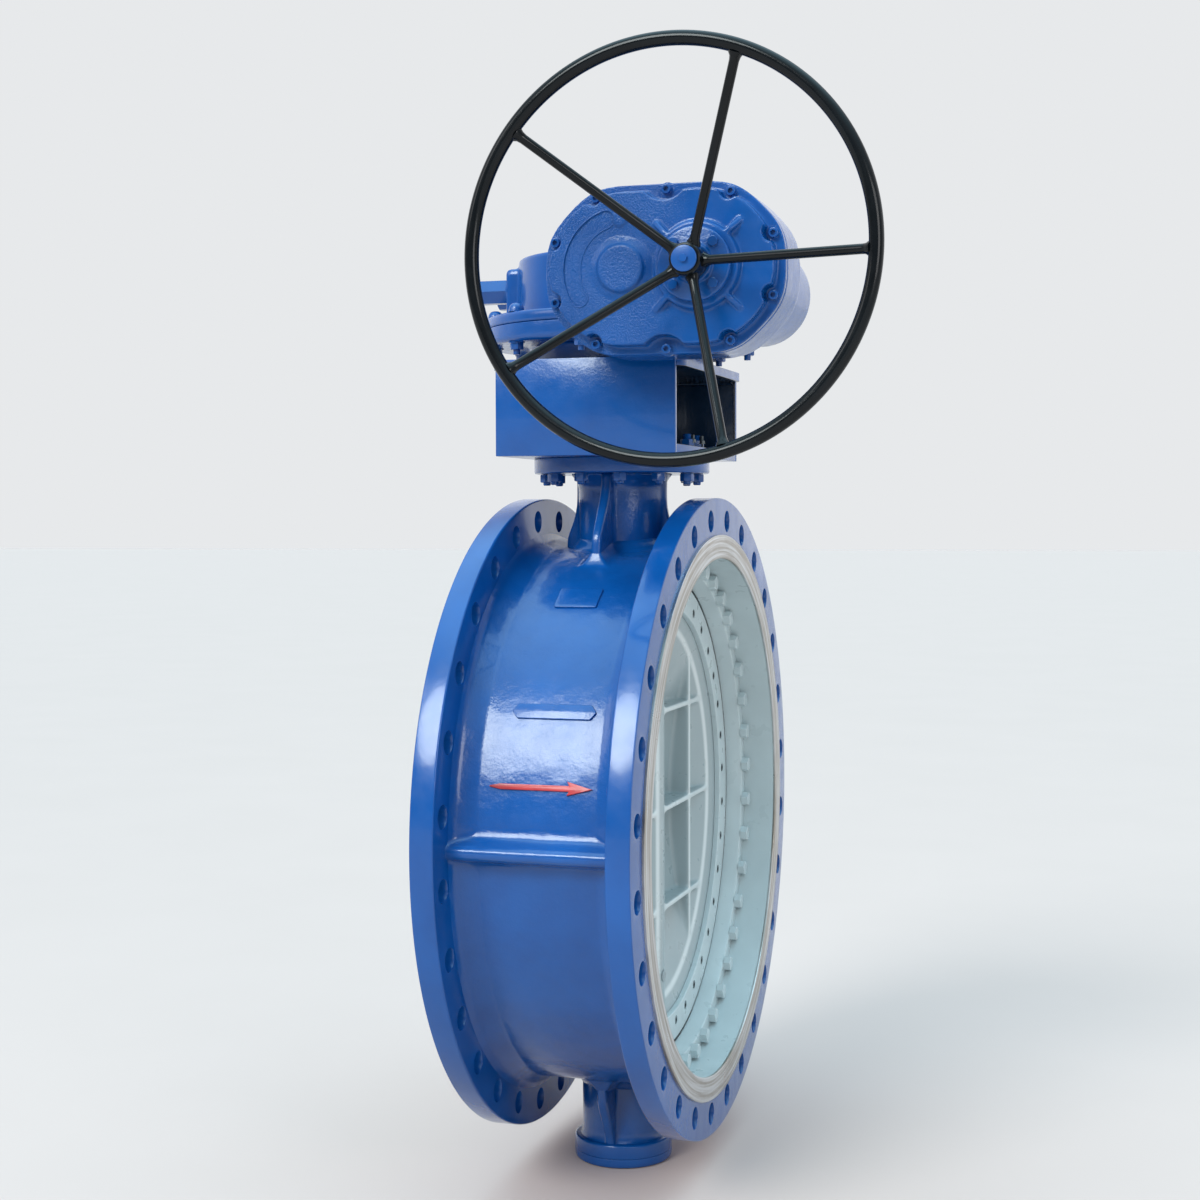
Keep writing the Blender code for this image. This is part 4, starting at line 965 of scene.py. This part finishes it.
def mounting_studs():
    """Studs and nuts between the valve's top flange and the yoke."""
    under = TOP_FLANGE_Z - 0.0003
    over = YOKE_LOW.z + 0.0203
    names = [f"mounting_stud_{i:02d}" for i in range(1, STUD_COUNT + 1)]
    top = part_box(names[0])[1].z
    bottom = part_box(names[0])[0].z
    nut = capped_hex(0.0240, 0.0158, 0.0015, 0.0128, 0.0008, True)
    places = []
    for i, (x, y) in enumerate(STUD_SPOTS):
        spin = 1.3 * i
        places.append(placed(x, y, under - 0.0003, "-Z", spin))
        places.append(placed(x, y, over, "Z", spin + 0.4))
    nuts = copies("mounting_nuts", nut, places)
    done(nuts, "valve", "smooth_blue", smooth_angle=25)
    stud = merged("rod", threaded("upper", 0.008, 0.0, top - YOKE_Z), rod("plain",
        [(0.0078, 0.001), (0.0078, bottom - YOKE_Z + 0.002), (0.0060, bottom - YOKE_Z)], steps=28))
    rods = copies("mounting_rods", stud, [placed(x, y, YOKE_Z) for x, y in STUD_SPOTS])
    done(rods, "valve", "smooth_blue", names)


# ---------------------------------------------------------------- gearbox
def gearbox():
    """Gearbox base and housing, with the drum round the worm."""
    foot, foot_r, hole_r = BASE_LOW.z, 0.177, 0.070
    base = [(GEARBOX_R, SEAM_Z, 0.002), (GEARBOX_R, UNDER_Z, 0.012), (0.184, UNDER_Z, 0.006),
        (foot_r, foot + 0.006), (foot_r, foot, 0.002), (hole_r, foot), (hole_r, SEAM_Z)]
    lower = lathe("gearbox_foot", base, steps=160)
    notch = rod("notch", [(TUNNEL_R + 0.001, 0.15), (TUNNEL_R + 0.001, -0.30)], "Y", WHEEL_AXIS)
    done(cut(lower, notch), "valve", "cast_blue", ["gearbox_base"])

    low = SEAM_Z + 0.0003
    rim = rod("rim", [(GEARBOX_R, RIM_TOP_Z, 0.010), (GEARBOX_R, low, 0.002)], steps=160)
    shell = rod("shell", [(HOUSING_R - 0.003, HOUSING_TOP, 0.008), (HOUSING_R + 0.001, 0.978)],
        steps=128)
    bulge = slab("bulge", arc((0, 0), 0.213, math.radians(-112), math.radians(112), 40)
        + [(0.0, 0.0)], 0.976, HOUSING_TOP - 0.001, "XY", 0.006)
    boss = brick("boss", (-0.2150, -0.090, 0.970), (-0.180, 0.090, 1.083), 0.010)
    drum = rod("drum", [(TUNNEL_R, TUNNEL_BACK, 0.003), (TUNNEL_R, TUNNEL_FRONT)], "Y", WHEEL_AXIS,
        128)
    for part in (rim, shell, bulge):
        cut(baked(part), rod("end room", [(0.070, 0.20), (0.070, TUNNEL_BACK)], "Y", WHEEL_AXIS,
            64))
    housing = cast("gearbox_shell", 0.0030, 4, rim, shell, bulge, boss, drum)
    cavity = slab("cavity", arc((0, 0), 0.200, math.radians(-115), math.radians(115), 40)
        + arc((0, 0), 0.193, math.radians(115), math.radians(245), 24), 0.940, HOUSING_TOP - 0.014,
        "XY")
    tunnel = rod("tunnel", [(0.086, 0.12), (0.086, -0.30)], "Y", WHEEL_AXIS, 64)
    top = rod("top", [(0.060, 1.13), (0.060, 1.05)], steps=64)
    done(cut(housing, cavity, tunnel, top), "valve", "smooth_blue", ["gearbox_housing"],
        smooth_angle=45)


def gearbox_bolts():
    """Bolts round the gearbox's split flange, with their nuts and ends below."""
    head = lathe("head", [(0.0, 0.0175), (0.0085, 0.0165, 0.004), (0.0145, 0.0100, 0.005),
        (0.0155, 0.0), (0.0, 0.0)], steps=40)
    end = rod("end", [(0.0066, 0.024, 0.001), (0.0070, 0.0)], steps=24)
    nut = capped_hex(0.0240, 0.0150, 0.0016, 0.0160, 0.0020, True, end)
    tops, unders = [], []
    count, first, radius = 10, 17.3, 0.2510
    for i in range(count):
        angle = math.radians(first + 360 / count * i)
        x, y = radius * math.cos(angle), radius * math.sin(angle)
        unders.append(placed(x, y, UNDER_Z + 0.0002, "-Z", 0.7 * i))
        if abs(x - WHEEL_X) > TUNNEL_R + 0.02:
            tops.append(placed(x, y, RIM_TOP_Z - 0.0002, "Z", 0.5 * i))
    done(copies("gearbox_bolt_heads", head, tops), "valve", "cast_blue", smooth_angle=25)
    done(copies("gearbox_nuts", nut, unders), "valve", "smooth_blue", smooth_angle=25)


def gearbox_trim():
    """Top cover with its screws, pointer, worm end cover and stop caps."""
    low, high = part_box("indicator_cover")
    lid = lathe("indicator_plate", [(high.y, high.z - 0.001, 0.003), (high.y, low.z, 0.0006),
        (0.019, low.z), (0.019, high.z, 0.001), (0.070, high.z, 0.004)], steps=96)
    done(lid, "valve", "smooth_blue", ["indicator_cover"])
    screw = socket_screw("screw", 0.0034, 0.0030)
    spots = circle((0, 0), high.y - 0.0075, 6, math.pi / 6)
    done(copies("indicator_plate_screws", screw, [placed(x, y, high.z - 0.0004, "Z", i)
        for i, (x, y) in enumerate(spots)]), "valve", "dark_screw")

    low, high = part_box("position_pointer")
    needle = arc((0, 0), 0.026, math.radians(25), math.radians(335), 40) + [(0.070, 0.0)]
    pointer = slab("pointer_plate", needle, low.z, high.z, "XY", 0.0008)
    hole = rod("hole", [(0.0168, 1.2), (0.0168, 1.0)], steps=40)
    done(cut(pointer, hole), "disc_assembly", "red_paint", ["position_pointer"])

    low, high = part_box("worm_end_cover")
    end_r = (high.x - low.x) / 2
    end = [(0.0, high.y), (0.036, high.y, 0.003), (0.039, low.y + 0.012, 0.003),
        (end_r, low.y + 0.012, 0.003), (end_r, low.y, 0.0006), (0.0, low.y)]
    done(lathe("drum_end_plate", end, "Y", WHEEL_AXIS, 96), "valve", "smooth_blue",
        ["worm_end_cover"])
    ring = [(TUNNEL_R - 0.0110, low.y + 0.0040, 0.001), (TUNNEL_R - 0.0110, low.y - 0.0006),
        (end_r - 0.004, low.y - 0.0006), (end_r - 0.004, low.y + 0.0040)]
    done(lathe("drum_end_ring", ring, "Y", WHEEL_AXIS, 96), "valve", "smooth_blue")
    head = capped_hex(0.0130, 0.0055, 0.0010, 0.0085, 0.0008)
    spots = circle((WHEEL_X, AXIS_Z), 0.053, 6, math.pi / 6)
    done(copies("drum_end_screws", head, [placed(x, low.y + 0.0119, z, "Y", i)
        for i, (x, z) in enumerate(spots)]), "valve", "smooth_blue", smooth_angle=25)

    for name in ("stop_cap_closed", "stop_cap_open"):
        low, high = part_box(name)
        length = high.x - low.x
        cap = baked(hex_shape(name.replace("cap", "screw_cap"), 0.0450, length, 0.0030))
        cap.data.transform(placed(high.x, (low.y + high.y) / 2, (low.z + high.z) / 2, "-X",
            math.pi / 2))
        done(cap, "valve", "smooth_blue", [name], smooth_angle=25)
    collar = rod("seat", [(0.030, 0.006, 0.003), (0.033, 0.0)], steps=40)
    seats = copies("stop_cap_seats", collar, [placed(high.x + 0.0052, side * 0.055, 1.040, "-X")
        for side in (-1, 1)])
    done(seats, "valve", "cast_blue")


# ---------------------------------------------------------------- spur reducer
def case_outline(radius, lobe, steps=56):
    """Oblong outline round the layshaft and the input, swelling at each screw."""
    points = []
    for centre, start in ((LAY_X, math.pi / 2), (WHEEL_X, -math.pi / 2)):
        for i in range(steps + 1):
            angle = start + math.pi * i / steps
            reach = radius + lobe * math.cos(8 * (angle - math.pi / 8))
            points.append((centre + reach * math.cos(angle), AXIS_Z + reach * math.sin(angle)))
    return points


def cover_screw_spots():
    """(x, z) of the cover's screws: four round each axis and one between them on each side."""
    spots = []
    for centre, angles in ((LAY_X, (112.5, 157.5, 202.5, 247.5)),
                           (WHEEL_X, (-67.5, -22.5, 22.5, 67.5))):
        for degrees in angles:
            angle = math.radians(degrees)
            spots.append((centre + COVER_SCREW_R * math.cos(angle),
                AXIS_Z + COVER_SCREW_R * math.sin(angle)))
    middle = (LAY_X + WHEEL_X) / 2 + 0.007
    return spots + [(middle, AXIS_Z + 0.139), (middle, AXIS_Z - 0.141)]


def reducer_casing():
    """Casing of the spur reducer behind its cover."""
    case = slab("case", case_outline(CASE_R, CASE_LOBE), CASE_SPLIT, CASE_BACK, "XZ")
    body = cast("reducer_case", 0.0035, 3, case)
    cavity = slab("cavity", case_outline(0.126, 0.0, 24), CASE_SPLIT - 0.01, CASE_BACK - 0.012,
        "XZ")
    hole = rod("hole", [(0.030, -0.25), (0.030, -0.31)], "Y", WHEEL_AXIS, 48)
    lay_seat = rod("hole", [(0.031, -0.2755), (0.031, -0.31)], "Y", LAY_AXIS, 48)
    done(cut(body, cavity, hole, lay_seat), "valve", "cast_blue", ["reducer_casing"],
        smooth_angle=45)


def kidney(inner, outer, height, name):
    """The bow-shaped outline beside the layshaft's boss."""
    start, end = math.radians(108), math.radians(212)
    middle, half = (inner + outer) / 2, (outer - inner) / 2
    centre = (LAY_X, AXIS_Z)
    cap_low = (centre[0] + middle * math.cos(end), centre[1] + middle * math.sin(end))
    cap_high = (centre[0] + middle * math.cos(start), centre[1] + middle * math.sin(start))
    outline = arc(centre, outer, start, end, 30)
    outline += arc(cap_low, half, end, end + math.pi, 10)[1:]
    outline += arc(centre, inner, end, start, 30)[1:]
    outline += arc(cap_high, half, start + math.pi, start + 2 * math.pi, 10)[1:-1]
    return slab(name, outline, *height, "XZ")


def reducer_cover():
    """Front cover: screw flange, raised panel with pockets, bosses, webs and a blank field."""
    flange_y, face_y = -0.400, -0.4285
    plate = slab("plate", case_outline(CASE_R, CASE_LOBE), flange_y, CASE_SPLIT - 0.0003, "XZ")
    panel = slab("panel", case_outline(0.1345, 0.0), face_y, flange_y + 0.006, "XZ")
    pocket = rod("pocket", [(0.0165, 0.0), (0.0175, -0.05)], steps=32)
    wide = rod("pocket", [(0.0450, 0.0), (0.0465, -0.05)], steps=48)
    spots = cover_screw_spots()
    pockets = copies("pockets", pocket, [placed(x, flange_y, z, "Y") for x, z in spots[:8]])
    wides = copies("pockets", wide, [placed(x, flange_y, AXIS_Z + side * 0.163, "Y")
        for (x, z), side in zip(spots[8:], (1, -1))])
    cut(panel, pockets, wides)
    lobes = copies("lobes", rod("lobe", [(0.0130, 0.0155), (0.0130, 0.0)], steps=32),
        [placed(x, flange_y - 0.0005, z, "Y") for x, z in spots])
    lay_boss = rod("boss", [(0.060, 0.041), (0.058, 0.0065), (0.0440, 0.0015, 0.003),
        (0.0405, -0.0055, 0.003)], "Y", (LAY_X, -0.435, AXIS_Z))
    input_boss = rod("boss", [(0.080, -0.415), (0.0770, -0.4400, 0.004), (0.0740, -0.4450)], "Y",
        WHEEL_AXIS)
    webs = []
    for quarter in range(4):
        angle = math.radians(45 + 90 * quarter)
        side = [(0.060, -0.4440), (0.084, -0.4440, 0.004), (0.112, -0.4300, 0.006),
            (0.114, -0.4200), (0.060, -0.4200)]
        web = baked(slab("web", rounded(side, closed=True), -0.0052, 0.0052, "XY", 0.002))
        web.data.transform(Matrix.Translation(WHEEL_AXIS) @ Matrix.Rotation(-angle, 4, "Y"))
        webs.append(web)
    plug = rod("plug", [(0.0140, -0.41), (0.0140, -0.4318, 0.002)], "Y", (0.125, 0, 1.114), 32)
    cover = cast("reducer_front", 0.0020, 4, plate, panel, lobes, lay_boss, input_boss, plug,
        *webs)
    field = kidney(0.0760, 0.1080, (face_y - 0.03, face_y + 0.0016), "field")
    ridge = cut(kidney(0.0745, 0.1095, (face_y - 0.0014, face_y + 0.004), "cover_field_ridge"),
        kidney(0.0772, 0.1068, (face_y - 0.03, face_y + 0.03), "inside ridge"))
    done(bevel(ridge, 0.0007, 2), "valve", "rough_blue")
    inside = slab("inside", case_outline(0.112, 0.0, 24), -0.398, -0.37, "XZ")
    bore = rod("bore", [(0.034, -0.37), (0.034, -0.46)], "Y", WHEEL_AXIS, 64)
    lay_bore = rod("bore", [(0.031, -0.37), (0.031, -0.419)], "Y", LAY_AXIS, 64)
    done(cut(cover, field, inside, bore, lay_bore), "valve", "rough_blue", ["reducer_cover"],
        smooth_angle=50)

    screw = merged("screw", socket_screw("head", 0.0085, 0.0105), washer("face", 0.0100, 0.0012))
    places = [placed(x, flange_y - 0.0008, z, "-Y", 0.8 * i) for i, (x, z) in enumerate(spots)]
    done(copies("cover_screws", screw, places), "valve", "smooth_blue")


def bearing_cap():
    """Cap over the input shaft's bearing, with four hexagon bolts."""
    low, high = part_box("input_bearing_cap")
    outer = (high.x - low.x) / 2
    loop = [(outer, high.y), (outer, -0.4595, 0.004), (0.036, -0.4605, 0.002),
        (0.033, low.y, 0.002), (0.0158, low.y), (0.0158, high.y)]
    done(lathe("input_cap", loop, "Y", WHEEL_AXIS, 96), "valve", "cast_blue",
        ["input_bearing_cap"])
    head = capped_hex(0.0165, 0.0085, 0.0012, 0.0105, 0.0012)
    spots = circle((WHEEL_X, AXIS_Z), 0.0505, 4, math.pi / 4)
    done(copies("input_cap_bolts", head, [placed(x, -0.4592, z, "-Y", 0.4 + i)
        for i, (x, z) in enumerate(spots)]), "valve", "smooth_blue", smooth_angle=25)


# ---------------------------------------------------------------- handwheel
def spoke_shape(name, start, end):
    """A straight spoke with its weld fillets at the hub and the rim."""
    start, end = Vector(start), Vector(end)
    length = (end - start).length
    profile = [(0.0, length + 0.004), (0.0135, length + 0.004), (0.0122, length - 0.001),
        (0.0096, length - 0.006), (SPOKE_R, length - 0.013)]
    profile += [(SPOKE_R, length * k / 8) for k in range(7, 0, -1)]
    profile += [(SPOKE_R, 0.012), (0.0100, 0.005), (0.0125, 0.0), (0.0125, -0.005), (0.0, -0.005)]
    obj = lathe(name, profile, steps=28)
    for vert in obj.data.vertices:
        near = max(0.0, 1.0 - min(vert.co.z, length - vert.co.z) / 0.014)
        vert.co.xy *= 1.0 + 0.10 * near * noise.noise(vert.co * 130.0 + Vector((length, 0, 0)))
    return spanned(obj, start, end)


def handwheel():
    """Dished handwheel with its hub and the washer and bolt that hold it."""
    centre = WHEEL_AXIS
    tube = [(RIM_R + RIM_TUBE_R * math.cos(a), RIM_Y + RIM_TUBE_R * math.sin(a))
        for a in (2 * math.pi * i / 32 for i in range(32))]
    done(lathe("rim_tube", tube, "Y", centre, 240), "handwheel", "black_enamel", ["handwheel_rim"])
    outer = (HUB_HIGH.x - HUB_LOW.x) / 2
    hub = [(outer, HUB_HIGH.y, 0.002), (0.0151, HUB_HIGH.y), (0.0151, HUB_LOW.y),
        (outer - 0.002, HUB_LOW.y, 0.003), (outer, HUB_LOW.y + 0.008, 0.004)]
    done(lathe("wheel_hub", hub, "Y", centre, 96), "handwheel", "black_enamel", ["handwheel_hub"])
    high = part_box("handwheel_cap")[1]
    cap = [(0.0, high.y), (0.0225, high.y, 0.0005), (0.0225, high.y - 0.0048, 0.0015),
        (0.0080, high.y - 0.0056, 0.0008), (0.0, high.y - 0.0056)]
    bolt = hex_shape("bolt", 0.0130, 0.0056, 0.0010)
    bolt.data.transform(placed(WHEEL_X, high.y - 0.0052, AXIS_Z, "-Y", 0.3))
    done(merged("wheel_cap", lathe("plate", cap, "Y", centre, 96), bolt), "handwheel",
        "smooth_blue", ["handwheel_cap"])
    contact = 0.0315
    slope = (RIM_Y + 0.498) / (RIM_R - 0.0335)
    length = math.hypot(1.0, slope)
    stand_off = RIM_TUBE_R - 0.001
    for number in range(5):
        angle = SPOKE_PHASE + number * 2 * math.pi / 5
        out = Vector((math.sin(angle), 0.0, math.cos(angle)))
        first = Vector(centre) + out * contact + Vector((0, RIM_Y - slope * (RIM_R - contact), 0))
        last = (Vector(centre) + out * (RIM_R - stand_off / length)
            + Vector((0, RIM_Y - stand_off * slope / length, 0)))
        done(spoke_shape(f"spoke_bar_{number + 1}", first, last), "handwheel", "black_enamel",
            [f"handwheel_spoke_{number + 1}"], smooth_angle=60)


# ---------------------------------------------------------------- inside and stage
def inner_parts():
    """Finish the solid model's own pieces that stay: shafts, gears, bearings and bushes."""
    looks = {"steel": ["lower_disc_pin", "upper_disc_pin", "wheel_key", "worm_shaft",
        "output_gear", "layshaft", "input_shaft", "worm_bearing_front", "worm_bearing_rear",
        "layshaft_bearing_front", "layshaft_bearing_rear", "input_bearing"],
        "bronze": ["upper_stem_bush", "lower_stem_bush", "thrust_bearing", "worm_quadrant"],
        "rubber": ["stem_packing"]}
    for look, names in looks.items():
        for name in names:
            for material_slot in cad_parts[name].material_slots:
                material_slot.material = MATERIALS[look]


def lamp(name, kind, power, aim, **settings):
    """A light that points along a direction."""
    data = bpy.data.lights.new(name, kind)
    data.energy = power
    for key, value in settings.items():
        setattr(data, key, value)
    light = shown(name, data)
    light.rotation_euler = Vector(aim).to_track_quat("-Z", "Y").to_euler()
    return light


def stage():
    """Pale floor, soft studio light and the camera."""
    size = 80.0
    floor = make("floor", [(x, y, BOTTOM_Z - 0.0005) for x, y in ((-size, -size), (size, -size),
        (size, size), (-size, size))], [[0, 1, 2, 3]])
    material, tree, shader, where = tree_of("pale_floor", (0.580, 0.466, 0.430), 0.8)
    feed(tree, shader, Base_Color=ramp(tree, noise_node(tree, where, 2.0),
        [(0.3, (0.577, 0.462, 0.426)), (0.7, (0.587, 0.470, 0.434))]))
    floor.data.materials.append(material)

    world = bpy.data.worlds.new("studio")
    bpy.context.scene.world = world
    world.use_nodes = True
    tree = world.node_tree
    place = axes(tree, add(tree, "TexCoord", "Generated"))
    height = add(tree, "MapRange", "Result", Value=place["Z"], From_Min=-1.0)
    side = add(tree, "MapRange", "Result", Value=place["Y"], From_Min=-0.35, From_Max=0.45)
    zenith = (0.95, (1.45, 2.25, 2.65))
    front = ramp(tree, height, [(0.50, (0.22, 0.23, 0.24)), (0.62, (0.26, 0.27, 0.29)),
        (0.72, (0.50, 0.52, 0.55)), (0.88, (0.72, 1.06, 1.22)), zenith])
    back = ramp(tree, height, [(0.50, (1.00, 1.02, 1.05)), (0.68, (1.00, 1.02, 1.05)),
        (0.82, (0.60, 0.62, 0.65)), zenith])
    room = add(tree, "MixRGB", "Color", Fac=side, Color1=front, Color2=back)
    seen = add(tree, "LightPath", "Is Camera Ray")
    feed(tree, tree.nodes["Background"], Color=add(tree, "MixRGB", "Color", Fac=seen, Color1=room,
        Color2=(0.80, 0.815, 0.83, 1.0)))
    bpy.context.scene.view_settings.view_transform = "Standard"

    lamp("sky_panel", "SUN", 2.25, (0.29, 0.778, -0.557), color=(0.92, 1.0, 0.99),
        angle=math.radians(27))
    for name, power, spot, target in (("key", 30.0, (-3.6, -3.0, 3.0), (0.0, -0.2, 0.3)),
                                      ("side", 55.0, (3.6, -3.4, 1.8), (0.2, 0.0, 0.1))):
        lamp(name, "AREA", power, Vector(target) - Vector(spot), shape="SQUARE",
            size=2.0).location = spot

    data = bpy.data.cameras.new("camera")
    data.lens = CAMERA_LENS
    data.sensor_width = SENSOR
    camera = shown("camera", data)
    level = Matrix.Rotation(CAMERA_AZIMUTH, 4, "Z")
    tilt = Matrix.Rotation(math.pi / 2 - CAMERA_ELEVATION, 4, "X")
    roll = Matrix.Rotation(CAMERA_ROLL, 4, "Z")
    camera.matrix_world = Matrix.Translation(CAMERA_PLACE) @ level @ tilt @ roll
    bpy.context.scene.camera = camera


# ---------------------------------------------------------------- build
barrel()
pipe_flange("downstream_flange", 1)
pipe_flange("upstream_flange", -1)
raised_face("downstream_raised_face", 1, POCKET_R)
raised_face("upstream_raised_face", -1, BORE_R)
bore_lining()
necks()
bottom_cover()
marks()
seat()
disc()
stem()
gland()
yoke()
mounting_studs()
gearbox()
gearbox_bolts()
gearbox_trim()
reducer_casing()
reducer_cover()
bearing_cap()
handwheel()
inner_parts()
stage()
